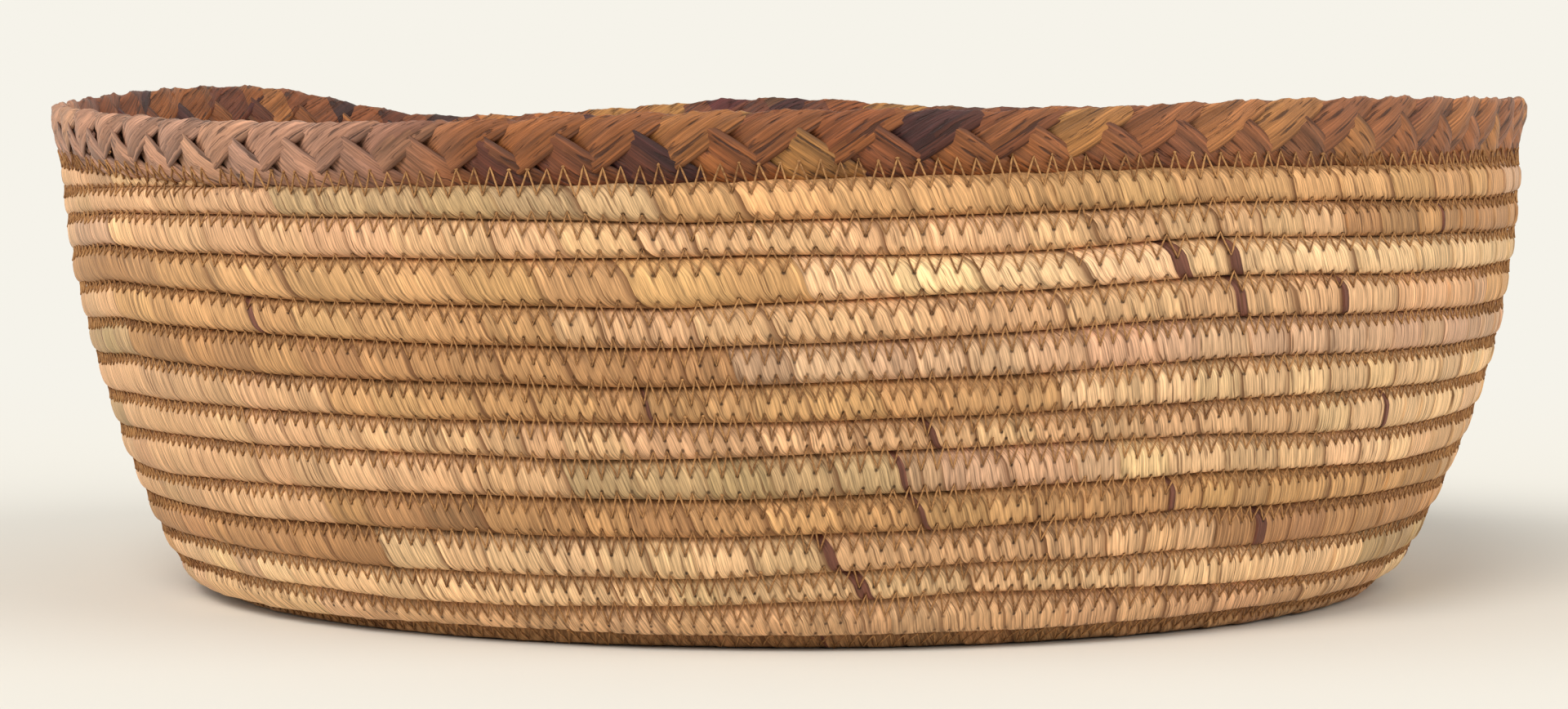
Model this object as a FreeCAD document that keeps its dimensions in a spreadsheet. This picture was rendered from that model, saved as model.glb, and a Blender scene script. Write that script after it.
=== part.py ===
import FreeCAD, Part
import math
import os

import Sketcher

# A round basket coiled from one continuous cord. The cord is a fibre core wrapped in dry leaf.
# It starts at the middle of the floor, runs outward as a flat spiral, turns up round the corner
# and climbs the wall anticlockwise (seen from above) as a helix. Thread is sewn into both grooves
# of every seam, and a flat three-strand plait is sewn on edge along the top.
#
# Millimetres, +Z up. The origin is the middle of the underside, on the surface it stands on.

Vector = FreeCAD.Vector
doc = FreeCAD.newDocument("coiled_basket")

# ---------------------------------------------------------------------------------------------
# Driving dimensions
# ---------------------------------------------------------------------------------------------
SIZES = [
    ("cord_diameter", 7.05, "mm, over the leaf wrap"),
    ("seam_gap", 0.25, "mm, between one pass of the cord and the next"),
    ("wrap_thickness", 0.75, "mm, of the leaf wrapped round the core"),
    ("core_clearance", 0.1, "mm, between core and wrap"),
    ("base_turns", 15, "turns of flat spiral in the floor"),
    ("wall_turns", 13, "turns of the cord in the wall"),
    ("underside_flat", 0.2, "mm, worn flat under the floor"),
    ("corner_radius", 10.9, "mm, bend from floor to wall, at the cord's centre"),
    ("corner_angle", 65, "degrees that the corner turns up by"),
    ("wall_radius", 242.4, "mm, of the wall's gentle outward bulge"),
    ("start_azimuth", 168, "degrees, where each turn starts and ends"),
    ("run_out_angle", 76, "degrees over which the rim comes down behind the cord's end"),
    ("tail_tip_diameter", 2.4, "mm, of the cord's tapered end"),
    ("plait_repeats", 22, "repeats of the plait round the rim"),
    ("plait_reach", 4.3, "mm, a strand's swing up and down from the plait's middle"),
    ("plait_swing", 2.15, "mm, a strand's swing in and out"),
    ("strand_diameter", 3.1, "mm, of one plait strand"),
    ("plait_seat_gap", 0.25, "mm, between the plait and the cord below it"),
    ("plait_join_azimuth", 100, "degrees, where the plait's two ends butt"),
    ("plait_join_gap", 0.3, "mm, between those ends"),
    ("thread_diameter", 0.8, "mm, of the sewing thread"),
    ("thread_clearance", 0.1, "mm, between the thread and the cord beside it"),
]
sizes = doc.addObject("Spreadsheet::Sheet", "sizes")
for row, (alias, value, note) in enumerate(SIZES, start=1):
    sizes.set("A%d" % row, alias)
    sizes.set("B%d" % row, str(value))
    sizes.set("C%d" % row, note)
    sizes.setAlias("B%d" % row, alias)
doc.recompute()


def size(alias):
    """The value that the sheet holds under this name."""
    return float(sizes.get(alias))


CORD_RADIUS = size("cord_diameter") / 2
PITCH = size("cord_diameter") + size("seam_gap")        # from one pass to the next
START_RADIUS = PITCH / 2                                # of the first pass of the spiral
FLOOR_HEIGHT = CORD_RADIUS - size("underside_flat")     # of the cord's centre in the floor
BASE_TURNS = int(size("base_turns"))
WALL_TURNS = int(size("wall_turns"))
LAST_TURN = BASE_TURNS + WALL_TURNS                     # the turn that carries the rim
CORE_RADIUS = CORD_RADIUS - size("wrap_thickness") - size("core_clearance")
BORE_RADIUS = CORD_RADIUS - size("wrap_thickness")      # of the hollow in the wrap
THREAD_RADIUS = size("thread_diameter") / 2
STRAND_RADIUS = size("strand_diameter") / 2
SPANS_PER_TURN = 8                                      # two tangent arcs in each span
SPANS_PER_REPEAT = 6                                    # of the plait

# The same values as text for the sketches and features, which are bound to the sheet.
PITCH_TEXT = "(sizes.cord_diameter + sizes.seam_gap)"
FLOOR_HEIGHT_TEXT = "(sizes.cord_diameter / 2 - sizes.underside_flat)"
GROOVE_TEXT = ("sqrt((sizes.cord_diameter / 2 + sizes.thread_diameter / 2 + sizes.thread_clearance)^2"
               " - (%s / 2)^2)" % PITCH_TEXT)
CORE_RADIUS_TEXT = "sizes.cord_diameter / 2 - sizes.wrap_thickness - sizes.core_clearance"
BORE_RADIUS_TEXT = "sizes.cord_diameter / 2 - sizes.wrap_thickness"


# ---------------------------------------------------------------------------------------------
# The basket's profile, followed by its length from the middle of the floor
# ---------------------------------------------------------------------------------------------
FLAT_RADIUS = START_RADIUS + BASE_TURNS * PITCH         # where the floor ends and the corner starts
CORNER_RADIUS = size("corner_radius")
CORNER_ANGLE = math.radians(size("corner_angle"))
CORNER_LENGTH = CORNER_RADIUS * CORNER_ANGLE
WALL_RADIUS = size("wall_radius")


def profile(length):
    """Radius, height and slope of the profile at this length from the middle of the floor."""
    if length <= FLAT_RADIUS:
        return length, FLOOR_HEIGHT, 0.0
    bend = min((length - FLAT_RADIUS) / CORNER_RADIUS, CORNER_ANGLE)
    radius = FLAT_RADIUS + CORNER_RADIUS * math.sin(bend)
    height = FLOOR_HEIGHT + CORNER_RADIUS * (1 - math.cos(bend))
    slope = bend
    beyond = length - FLAT_RADIUS - CORNER_LENGTH
    if beyond > 0:
        slope = CORNER_ANGLE + beyond / WALL_RADIUS
        radius += WALL_RADIUS * (math.sin(slope) - math.sin(CORNER_ANGLE))
        height += WALL_RADIUS * (math.cos(CORNER_ANGLE) - math.cos(slope))
    return radius, height, slope


def cord_length(turn):
    """Length along the profile to the cord's centre after this many turns."""
    return START_RADIUS + turn * PITCH


def at(radius, height, turn):
    """The point at this radius and height, this many turns round from the start."""
    angle = 2 * math.pi * turn
    return Vector(radius * math.cos(angle), radius * math.sin(angle), height)


def on_profile(length, outward, turn):
    """A point on the profile, moved out of its face by a distance."""
    radius, height, slope = profile(length)
    return at(radius + outward * math.sin(slope), height - outward * math.cos(slope), turn)


def cord_centre(turn):
    return on_profile(cord_length(turn), 0.0, turn)


def run_out(turn):
    """How far the rim still stands above the last turn, from 1 behind its start down to 0."""
    part_way = (turn - math.floor(turn)) * 360 / size("run_out_angle")
    return (1 + math.cos(math.pi * min(part_way, 1.0))) / 2


def rim_length(turn):
    """Length along the profile to the top of the cord, where the plait sits."""
    lap = turn - math.floor(turn)
    return cord_length(LAST_TURN - 1 + lap) + CORD_RADIUS + PITCH * run_out(turn)


def seam_point(turn, side):
    """Centre of the thread in the groove between the pass at this turn and the next pass."""
    low_radius, low_height, _ = profile(cord_length(turn))
    high_radius, high_height, _ = profile(cord_length(turn + 1))
    across, up = high_radius - low_radius, high_height - low_height
    apart = math.hypot(across, up)
    reach = CORD_RADIUS + THREAD_RADIUS + size("thread_clearance")
    outward = side * math.sqrt(reach ** 2 - (apart / 2) ** 2) / apart
    return at((low_radius + high_radius) / 2 + outward * up,
              (low_height + high_height) / 2 - outward * across, turn)


def rim_seam_point(turn, side):
    """Centre of the thread in the groove between the top of the cord and the plait."""
    reach = CORD_RADIUS + THREAD_RADIUS + size("thread_clearance")
    outward = side * math.sqrt(reach ** 2 - CORD_RADIUS ** 2)
    return on_profile(rim_length(turn), outward, turn)


def strand_point(turn, phase):
    """Centre of a plait strand: a figure of eight in section, drawn out round the rim."""
    swing = 2 * math.pi * size("plait_repeats") * turn + phase
    middle = rim_length(turn) + size("plait_seat_gap") + STRAND_RADIUS + size("plait_reach")
    return on_profile(middle + size("plait_reach") * math.sin(swing),
                      size("plait_swing") * math.sin(2 * swing), turn)


# ---------------------------------------------------------------------------------------------
# Tubes along a path of tangent arcs
# ---------------------------------------------------------------------------------------------
def heading(path, turn):
    """Direction of a path at this turn."""
    step = 1e-5
    return (path(turn + step) - path(turn - step)).normalize()


def arc_between(start, direction, end):
    """The arc that leaves start along a direction and reaches end."""
    chord = end - start
    normal = direction.cross(chord)
    if normal.Length < 1e-7 * chord.Length:
        return Part.LineSegment(start, end).toShape()
    normal.normalize()
    sideways = normal.cross(direction)
    centre = start + sideways * (chord * chord / (2 * (chord * sideways)))
    half = direction.getAngle(chord)
    spoke = start - centre
    middle = centre + spoke * math.cos(half) + normal.cross(spoke) * math.sin(half)
    return Part.Arc(start, middle, end).toShape()


def two_arcs(start, start_way, end, end_way):
    """Two arcs that join two points and are tangent to both directions and to each other."""
    chord = end - start
    ways = start_way + end_way
    bend = 2 * (1 - start_way * end_way)
    if bend < 1e-12:
        handle = chord * chord / (2 * (chord * ways))
    else:
        handle = (-(chord * ways) + math.sqrt((chord * ways) ** 2 + bend * (chord * chord))) / bend
    corner_in, corner_out = start + start_way * handle, end - end_way * handle
    joint = (corner_in + corner_out) * 0.5
    return [arc_between(start, start_way, joint),
            arc_between(joint, (corner_out - corner_in).normalize(), end)]


def tube_along(path, first, last, spans, outer, inner=0.0, level_start=False):
    """A tube that follows a path from one turn to another, solid or hollow."""
    turns = [first + (last - first) * i / spans for i in range(spans + 1)]
    points = [path(turn) for turn in turns]
    ways = [heading(path, turn) for turn in turns]
    if level_start:
        # the flat spiral ends square to its radius, so what goes on from it starts so too
        ways[0] = Vector(0, 1, 0)
    arcs = []
    for i in range(spans):
        arcs += two_arcs(points[i], ways[i], points[i + 1], ways[i + 1])
    spine = Part.Wire(arcs)

    def tube(radius):
        ring = Part.Wire([Part.Circle(points[0], ways[0], radius).toShape()])
        return spine.makePipe(Part.Face(ring))

    if inner > 0:
        return tube(outer).cut(tube(inner)).Solids[0]
    return tube(outer)


TURNED = FreeCAD.Placement(Vector(0, 0, 0),
                           FreeCAD.Rotation(Vector(0, 0, 1), size("start_azimuth")))
pieces = []


def add_piece(name, shape):
    """A sub-part whose shape is worked out here, turned to where the cord's turns start."""
    piece = doc.addObject("Part::Feature", name)
    piece.Label = name
    piece.Shape = shape
    piece.Placement = TURNED
    pieces.append(piece)
    return piece


# ---------------------------------------------------------------------------------------------
# The floor: flat spirals of quarter circles
# ---------------------------------------------------------------------------------------------
def origin_plane(body, role):
    return next(plane for plane in body.Origin.OriginFeatures if plane.Role == role)


def sketch_on(body, name, role):
    sketch = body.newObject("Sketcher::SketchObject", name)
    sketch.AttachmentSupport = [(origin_plane(body, role), "")]
    sketch.MapMode = "FlatFace"
    return sketch


def bind(sketch, constraint, expression):
    """Adds a sizing constraint and binds it to the sheet."""
    index = sketch.addConstraint(constraint)
    sketch.setExpression("Constraints[%d]" % index, expression)


def spiral_body(name, first_radius, first_radius_text, turns, height_text, radii_texts):
    """A cord or thread in a flat spiral of quarter circles, centred on a quarter pitch square."""
    body = doc.addObject("PartDesign::Body", name)
    body.Label = name
    spiral = sketch_on(body, name + "_spiral", "XY_Plane")
    spiral.setExpression("AttachmentOffset.Base.z", height_text)
    constraints, expressions = [], []
    for quarter in range(4 * turns):
        side_x, side_y = ((-1, 1), (-1, -1), (1, -1), (1, 1))[quarter % 4]
        radius = first_radius + PITCH / 8 + quarter * PITCH / 4
        ring = Part.Circle(Vector(side_x * PITCH / 8, side_y * PITCH / 8, 0), Vector(0, 0, 1),
                           radius)
        from_angle = math.pi / 2 * (quarter % 4)
        arc = spiral.addGeometry(
            Part.ArcOfCircle(ring, from_angle, from_angle + math.pi / 2), False)
        ends = ("Vertical", "Horizontal") if quarter % 2 else ("Horizontal", "Vertical")
        constraints += [
            Sketcher.Constraint("Radius", arc, radius),
            Sketcher.Constraint("DistanceX", -1, 1, arc, 3, side_x * PITCH / 8),
            Sketcher.Constraint("DistanceY", -1, 1, arc, 3, side_y * PITCH / 8),
            Sketcher.Constraint(ends[0], arc, 1, arc, 3),
            Sketcher.Constraint(ends[1], arc, 2, arc, 3)]
        expressions += [
            "%s + %d * %s / 8" % (first_radius_text, 1 + 2 * quarter, PITCH_TEXT),
            "%s / %d" % (PITCH_TEXT, 8 * side_x), "%s / %d" % (PITCH_TEXT, 8 * side_y),
            None, None]
    for index, expression in zip(spiral.addConstraint(constraints), expressions):
        if expression:
            spiral.setExpression("Constraints[%d]" % index, expression)
    section = sketch_on(body, name + "_section", "XZ_Plane")
    section.setExpression("AttachmentOffset.Base.z", "%s / -8" % PITCH_TEXT)
    doc.recompute()
    height = spiral.AttachmentOffset.Base.z
    for radius_text in radii_texts:
        radius = float(section.evalExpression(radius_text))
        ring = section.addGeometry(
            Part.Circle(Vector(first_radius, height, 0), Vector(0, 0, 1), radius), False)
        bind(section, Sketcher.Constraint("DistanceX", -1, 1, ring, 3, first_radius),
             first_radius_text)
        bind(section, Sketcher.Constraint("DistanceY", -1, 1, ring, 3, height), height_text)
        bind(section, Sketcher.Constraint("Radius", ring, radius), radius_text)
    pipe = body.newObject("PartDesign::AdditivePipe", name + "_pipe")
    pipe.Profile = section
    pipe.Spine = (spiral, [])
    body.Placement = TURNED
    doc.recompute()
    pieces.append(body)
    return body


def flatten_underside(body):
    """Takes off what lies below the surface that the basket stands on."""
    patch = sketch_on(body, body.Name + "_underside", "XY_Plane")
    reach = (BASE_TURNS + 1) * PITCH
    disc = patch.addGeometry(Part.Circle(Vector(0, 0, 0), Vector(0, 0, 1), reach), False)
    patch.addConstraint(Sketcher.Constraint("Coincident", disc, 3, -1, 1))
    bind(patch, Sketcher.Constraint("Radius", disc, reach),
         "(sizes.base_turns + 1) * %s" % PITCH_TEXT)
    cut = body.newObject("PartDesign::Pocket", body.Name + "_flat")
    cut.Profile = patch
    cut.setExpression("Length", "sizes.cord_diameter")
    doc.recompute()


spiral_body("base_core", START_RADIUS, "%s / 2" % PITCH_TEXT, BASE_TURNS,
            FLOOR_HEIGHT_TEXT, [CORE_RADIUS_TEXT])
base_wrap = spiral_body("base_wrap", START_RADIUS, "%s / 2" % PITCH_TEXT, BASE_TURNS,
                        FLOOR_HEIGHT_TEXT, ["sizes.cord_diameter / 2", BORE_RADIUS_TEXT])
flatten_underside(base_wrap)
spiral_body("base_thread_under", PITCH, PITCH_TEXT, BASE_TURNS - 1,
            "%s - %s" % (FLOOR_HEIGHT_TEXT, GROOVE_TEXT), ["sizes.thread_diameter / 2"])
spiral_body("base_thread_top", PITCH, PITCH_TEXT, BASE_TURNS - 1,
            "%s + %s" % (FLOOR_HEIGHT_TEXT, GROOVE_TEXT), ["sizes.thread_diameter / 2"])


def past_floor(radius):
    """Part of a turn by which a flat spiral that ends at this radius passes its last full turn."""
    return math.atan(PITCH / 8 / radius) / (2 * math.pi)


CORD_JOIN = past_floor(FLAT_RADIUS)
THREAD_JOIN = past_floor(FLAT_RADIUS - PITCH / 2)

# ---------------------------------------------------------------------------------------------
# The wall: one core and one wrap for each turn of the cord
# ---------------------------------------------------------------------------------------------
for number in range(1, WALL_TURNS + 1):
    first = BASE_TURNS + number - 1
    on_floor = number == 1
    start = first + (CORD_JOIN if on_floor else 0)
    core = tube_along(cord_centre, start, first + 1, SPANS_PER_TURN, CORE_RADIUS,
                      level_start=on_floor)
    wrap = tube_along(cord_centre, start, first + 1, SPANS_PER_TURN, CORD_RADIUS, BORE_RADIUS,
                      level_start=on_floor)
    if on_floor:
        # the first turn leaves the floor, so part of it is worn flat as the floor is
        reach = FLAT_RADIUS + 2 * PITCH
        below = Part.makeCylinder(reach, CORD_RADIUS, Vector(0, 0, -CORD_RADIUS))
        wrap = wrap.cut(below).Solids[0]
    add_piece("wall_core_%02d" % number, core)
    add_piece("wall_wrap_%02d" % number, wrap)

# ---------------------------------------------------------------------------------------------
# The cord's end: it tapers as it runs out on top of the last turn
# ---------------------------------------------------------------------------------------------
TIP_RADIUS = size("tail_tip_diameter") / 2
TAIL_SECTIONS = 12
# how much of the run-out is left where the taper is down to its tip
tip_run_out = (2 * TIP_RADIUS + size("seam_gap")) / PITCH
TAIL_TURNS = math.acos(2 * tip_run_out - 1) / math.pi * size("run_out_angle") / 360


def tail_ring(turn, inset):
    """The outline of the tapering end at this turn, set in from its surface."""
    radius = (PITCH * run_out(turn) - size("seam_gap")) / 2

    def centre(place):
        here = (PITCH * run_out(place) - size("seam_gap")) / 2
        return on_profile(rim_length(place) - here, 0.0, place)

    way = heading(cord_centre, turn) if turn == LAST_TURN else heading(centre, turn)
    return Part.Wire([Part.Circle(centre(turn), way, radius - inset).toShape()])


def tail(inset):
    turns = [LAST_TURN + TAIL_TURNS * i / TAIL_SECTIONS for i in range(TAIL_SECTIONS + 1)]
    return Part.makeLoft([tail_ring(turn, inset) for turn in turns], True, True)


add_piece("tail_core", tail(size("wrap_thickness") + size("core_clearance")))
add_piece("tail_wrap", tail(0.0).cut(tail(size("wrap_thickness"))).Solids[0])

# ---------------------------------------------------------------------------------------------
# The sewing thread in the grooves of the wall
# ---------------------------------------------------------------------------------------------
for number in range(1, WALL_TURNS + 1):
    first = BASE_TURNS + number - 2
    last = first + 1 + (TAIL_TURNS if number == WALL_TURNS else 0)
    start = first + (THREAD_JOIN if number == 1 else 0)
    spans = SPANS_PER_TURN + (1 if number == WALL_TURNS else 0)
    add_piece("seam_thread_%02d" % number,
              tube_along(lambda turn: seam_point(turn, 1), start, last, spans, THREAD_RADIUS,
                         level_start=number == 1))

inner_first, inner_last = BASE_TURNS - 1 + THREAD_JOIN, LAST_TURN - 1 + TAIL_TURNS
add_piece("inner_thread",
          tube_along(lambda turn: seam_point(turn, -1), inner_first, inner_last,
                     SPANS_PER_TURN * WALL_TURNS + 1, THREAD_RADIUS, level_start=True))

# ---------------------------------------------------------------------------------------------
# The rim: three plaited strands, and the thread that sews them on
# ---------------------------------------------------------------------------------------------
join_turn = (size("plait_join_azimuth") - size("start_azimuth")) / 360
join_radius = profile(rim_length(join_turn))[0]
half_gap = size("plait_join_gap") / (4 * math.pi * join_radius)
rim_first, rim_last = join_turn + half_gap, join_turn + 1 - half_gap
plait_spans = int(size("plait_repeats")) * SPANS_PER_REPEAT
for letter, phase in (("a", 0.0), ("b", 2 * math.pi / 3), ("c", 4 * math.pi / 3)):
    add_piece("plait_strand_" + letter,
              tube_along(lambda turn: strand_point(turn, phase), rim_first, rim_last,
                         plait_spans, STRAND_RADIUS))
for name, side in (("rim_thread_outer", 1), ("rim_thread_inner", -1)):
    add_piece(name, tube_along(lambda turn: rim_seam_point(turn, side), rim_first, rim_last,
                               3 * SPANS_PER_TURN, THREAD_RADIUS))

# ---------------------------------------------------------------------------------------------
# Check everything, then write one STEP file for each sub-part
# ---------------------------------------------------------------------------------------------
doc.recompute()
for item in doc.Objects:
    if "Invalid" in item.State or "Error" in item.State:
        raise RuntimeError("%s did not build: %s" % (item.Name, item.State))
for piece in pieces:
    if piece.Shape.isNull() or not piece.Shape.isValid() or len(piece.Shape.Solids) != 1:
        raise RuntimeError("%s is not one valid solid" % piece.Label)

os.makedirs("parts", exist_ok=True)
for piece in pieces:
    piece.Shape.exportStep("parts/%s.step" % piece.Label)
    print("%-20s %9.1f mm3, %3d faces" % (piece.Label, piece.Shape.Volume,
                                          len(piece.Shape.Faces)))
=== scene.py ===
# %% [markdown]
# # A coiled leaf basket with a plaited rim
#
# The basket is one long cord, a bundle of plant fibre wrapped in strips of dry palm leaf, wound
# in a flat spiral for the floor and then up the wall. Each pass is sewn to the next with a
# zigzag of cotton thread, and a plait of broad dark leaf finishes the rim.
#
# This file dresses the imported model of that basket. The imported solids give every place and
# size; here each one gets the piece that is seen in its stead, with its leaf, thread or plait.

import math

import bpy
import numpy as np
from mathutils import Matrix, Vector


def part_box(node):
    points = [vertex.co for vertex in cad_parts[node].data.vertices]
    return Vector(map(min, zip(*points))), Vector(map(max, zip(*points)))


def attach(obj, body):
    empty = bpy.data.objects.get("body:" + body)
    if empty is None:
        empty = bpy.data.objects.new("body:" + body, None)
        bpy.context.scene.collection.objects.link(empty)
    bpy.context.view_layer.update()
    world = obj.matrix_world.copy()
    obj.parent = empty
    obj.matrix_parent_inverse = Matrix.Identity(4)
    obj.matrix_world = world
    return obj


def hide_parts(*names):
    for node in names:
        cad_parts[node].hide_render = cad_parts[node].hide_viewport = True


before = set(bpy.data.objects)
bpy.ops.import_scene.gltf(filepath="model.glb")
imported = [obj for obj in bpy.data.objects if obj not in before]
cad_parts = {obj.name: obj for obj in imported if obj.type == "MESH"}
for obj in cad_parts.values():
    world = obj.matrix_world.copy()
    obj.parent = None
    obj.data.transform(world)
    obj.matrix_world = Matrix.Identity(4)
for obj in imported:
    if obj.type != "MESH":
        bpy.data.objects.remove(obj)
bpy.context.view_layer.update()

# %% [markdown]
# ## The cord's route
#
# The cord's middle follows a profile that runs flat over the floor, turns up round a corner and
# leans out along the wall, and it moves one pitch along that profile with each turn. It could be
# drawn as a curve by hand, but a formula keeps every pass one pitch from the last, and the same
# formula then places the seams, the thread and the rim. These are the sizes of the packed
# solids, in millimetres.

# %% Sizes of the cord and its route
MM = 0.001
PITCH = 7.3                                 # from one pass of the cord to the next
CORD_RADIUS = 3.525
FLOOR_TURNS, LAST_TURN = 15, 28
START_AZIMUTH = math.radians(168)           # where every turn starts
START_RADIUS = PITCH / 2
FLOOR_HEIGHT = CORD_RADIUS - 0.2            # of the cord's middle, worn flat underneath
FLAT_RADIUS = START_RADIUS + FLOOR_TURNS * PITCH
CORNER_RADIUS, CORNER_ANGLE = 10.9, math.radians(65)
WALL_RADIUS = 242.4                         # of the wall's gentle bulge
RUN_OUT = 76 / 360                          # part of a turn in which the rim comes down
print("flat floor", round(2 * FLAT_RADIUS, 1), "mm across, and", LAST_TURN - FLOOR_TURNS,
      "turns of wall")

# %% [markdown]
# A place on the basket is given by three numbers: a length along the profile, a distance out of
# its face, and the turns made round the axis. The rim stands one pitch above the start of the
# last pass and comes down to the cord's thin end beside it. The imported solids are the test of
# all this: the formula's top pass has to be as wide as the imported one.

# %% Places along the profile
def profile(length):
    """Radius, height and slope at a length along the profile from the middle of the floor."""
    bend = np.clip((length - FLAT_RADIUS) / CORNER_RADIUS, 0, CORNER_ANGLE)
    beyond = np.maximum(length - FLAT_RADIUS - CORNER_RADIUS * CORNER_ANGLE, 0)
    slope = bend + beyond / WALL_RADIUS
    lean = np.maximum(slope, CORNER_ANGLE)
    radius = (np.minimum(length, FLAT_RADIUS) + CORNER_RADIUS * np.sin(bend)
              + WALL_RADIUS * (np.sin(lean) - np.sin(CORNER_ANGLE)))
    height = (FLOOR_HEIGHT + CORNER_RADIUS * (1 - np.cos(bend))
              + WALL_RADIUS * (np.cos(CORNER_ANGLE) - np.cos(lean)))
    return radius, height, slope


def run_out(turn):
    """How far the rim still stands above the last pass, from 1 at its start down to 0."""
    part_way = np.minimum((turn - np.floor(turn)) / RUN_OUT, 1)
    return (1 + np.cos(math.pi * part_way)) / 2


def rim_length(turn):
    """Length along the profile to the top of the cord, where the plait sits."""
    lap = turn - np.floor(turn)
    return START_RADIUS + (LAST_TURN - 1 + lap) * PITCH + CORD_RADIUS + PITCH * run_out(turn)


def place(length, outward, turn):
    """Points in mm at a length along the profile, moved out of its face, turned round the axis."""
    radius, height, slope = profile(length)
    across = radius + outward * np.sin(slope)
    angle = 2 * math.pi * turn + START_AZIMUTH
    return np.stack([across * np.cos(angle), across * np.sin(angle),
                     height - outward * np.cos(slope)], axis=-1)


top_pass = np.linspace(LAST_TURN - 1, LAST_TURN, 721)
top_points = place(START_RADIUS + top_pass * PITCH, CORD_RADIUS, top_pass)
low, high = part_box("wall_wrap_13")
print("top pass: packed width mm", round((high.x - low.x) / MM, 1), "formula's width mm",
      round(float(np.ptp(top_points[:, 0])), 1))

# %% [markdown]
# ## A basket made by hand
#
# A real one is never quite true. The rim dips a few millimetres, most of all at the back, and
# the soft wall bellies out and leans a little to the right. Each piece could be bent on its own,
# but then they would part, so one function moves any point of the basket, by less the lower it
# lies, and every piece passes through it and stays in touch with its neighbours.

# %% How the rim dips
RIM_HEIGHT = 92.0
DIP_AT = np.radians([0, 10, 26, 42, 56, 68, 77, 83, 90, 99, 106, 110, 122, 129, 133, 139, 145,
                     152, 160, 170, 180, 188, 198, 209, 222, 235, 250, 257, 270, 284, 299,
                     307, 318, 330, 345, 360])
DIP_MM = np.array([2.0, 3.0, 4.0, 5.0, 6.0, 6.6, 6.9, 5.9, 4.2, 6.2, 7.2, 8.6, 9.3, 8.8, 5.4, 3.0,
                   2.5, 2.8, 3.5, 4.8, 5.5, 5.0, 4.3, 3.5, 2.9, 2.2, 1.7, 1.8, 0.8, 0.2, -0.4,
                   0.0, 0.6, 1.0, 1.7, 2.0])
ROUND_OFF = np.linspace(-0.1, 0.1, 5)       # radians over which the dips are evened
SWAY_MM, SWELL = 1.2, 0.0072


def settle(points):
    """Lowers points in mm as the rim dips, and lets the wall belly out, most to the right."""
    azimuth = np.arctan2(points[..., 1], points[..., 0]) % (2 * math.pi)
    dip = sum(np.interp((azimuth + step) % (2 * math.pi), DIP_AT, DIP_MM)
              for step in ROUND_OFF) / len(ROUND_OFF)
    share = points[..., 2] / RIM_HEIGHT
    belly = np.sin(math.pi * np.clip(share, 0, 1))
    settled = points.copy()
    settled[..., 2] -= dip * share
    settled[..., :2] *= (1 + SWELL * belly)[..., None]
    settled[..., 0] += SWAY_MM * belly
    return settled


print("rim dips by", DIP_MM.min(), "to", DIP_MM.max(), "mm")

# %% [markdown]
# The seams wander as well: the maker pulls the thread harder in one place than in another, and
# the passes above and below shift with it. The slow rises are listed for each pass of the wall
# at a few azimuths. Three small waves that never fall in step are added to them, which is
# cheaper than a list of every wobble and as hard to tell from a hand's work.

# %% How the seams wander
RISE_AT = [175, 205, 235, 262, 285, 303, 325, 365]
SEAM_RISES = {                              # mm up the wall, for the seam above each pass
    16: [0, 0.7, -1.5, -0.8, 1.0, 0.0, -1.4, 0],
    17: [0, -0.2, -1.7, -2.4, -0.1, 0.2, -0.5, 0],
    18: [0, -0.2, -0.7, -1.3, 0.3, 1.2, 0.2, 0],
    19: [0, -0.8, -0.5, -0.7, 0.2, 1.1, -0.2, 0],
    20: [0, 0.7, 0.4, -0.1, 1.1, 1.3, -0.3, 0],
    21: [0, 1.0, 0.2, -0.7, -0.1, 0.9, 0.5, 0],
    22: [0, 2.4, -0.2, -0.9, 0.1, 1.2, 0.7, 0],
    23: [0, 2.6, 0.1, -0.9, 0.3, 1.7, 0.9, 0],
    24: [0, 2.8, 0.1, -0.8, 0.4, 2.2, 1.2, 0],
    25: [0, 2.8, 1.1, 0.9, 0.4, 1.9, 0.8, 0],
    26: [0, 2.4, 1.4, 0.1, -0.1, 0.7, 0.3, 0]}
SEAM_WAVES = [(0.13, 5.27, 1.0), (0.10, 11.43, 2.6), (0.07, 23.9, 0.4)]


def seam_shift(turn):
    """How far in mm the seam above the cord lies off its even place, up the wall."""
    waves = sum(height * np.sin(2 * math.pi * per_turn * turn + start)
                for height, per_turn, start in SEAM_WAVES)
    lap = np.clip(np.floor(turn), FLOOR_TURNS, LAST_TURN - 1)
    azimuth = math.degrees(START_AZIMUTH) + 360 * (turn - lap)
    slow = np.zeros(np.shape(turn))
    for number, rises in SEAM_RISES.items():
        slow = np.where(lap == number, np.interp(azimuth, RISE_AT, rises), slow)
    # just below the rim the seam is even again, because the plait sits on it
    return (waves + slow) * np.clip((LAST_TURN - 0.8 - turn) / 0.3, 0, 1)


print("seams rise by up to", max(max(rises) for rises in SEAM_RISES.values()), "mm")

# %% [markdown]
# ## The leaf-wrapped cord
#
# The cord fills the room between the seam below it and the seam above, so both its middle and
# its thickness follow the two seams. Everything on it is spaced in millimetres along its length
# and not in turns, as a turn in the floor's middle is short, so a table of that length by turn
# leads from the one to the other.

# %% The cord's middle and its length
FIRST_TURN, END_TURN = -0.6, LAST_TURN + 0.175
TURNS = np.linspace(FIRST_TURN - 0.4, END_TURN + 0.1, 90001)


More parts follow.
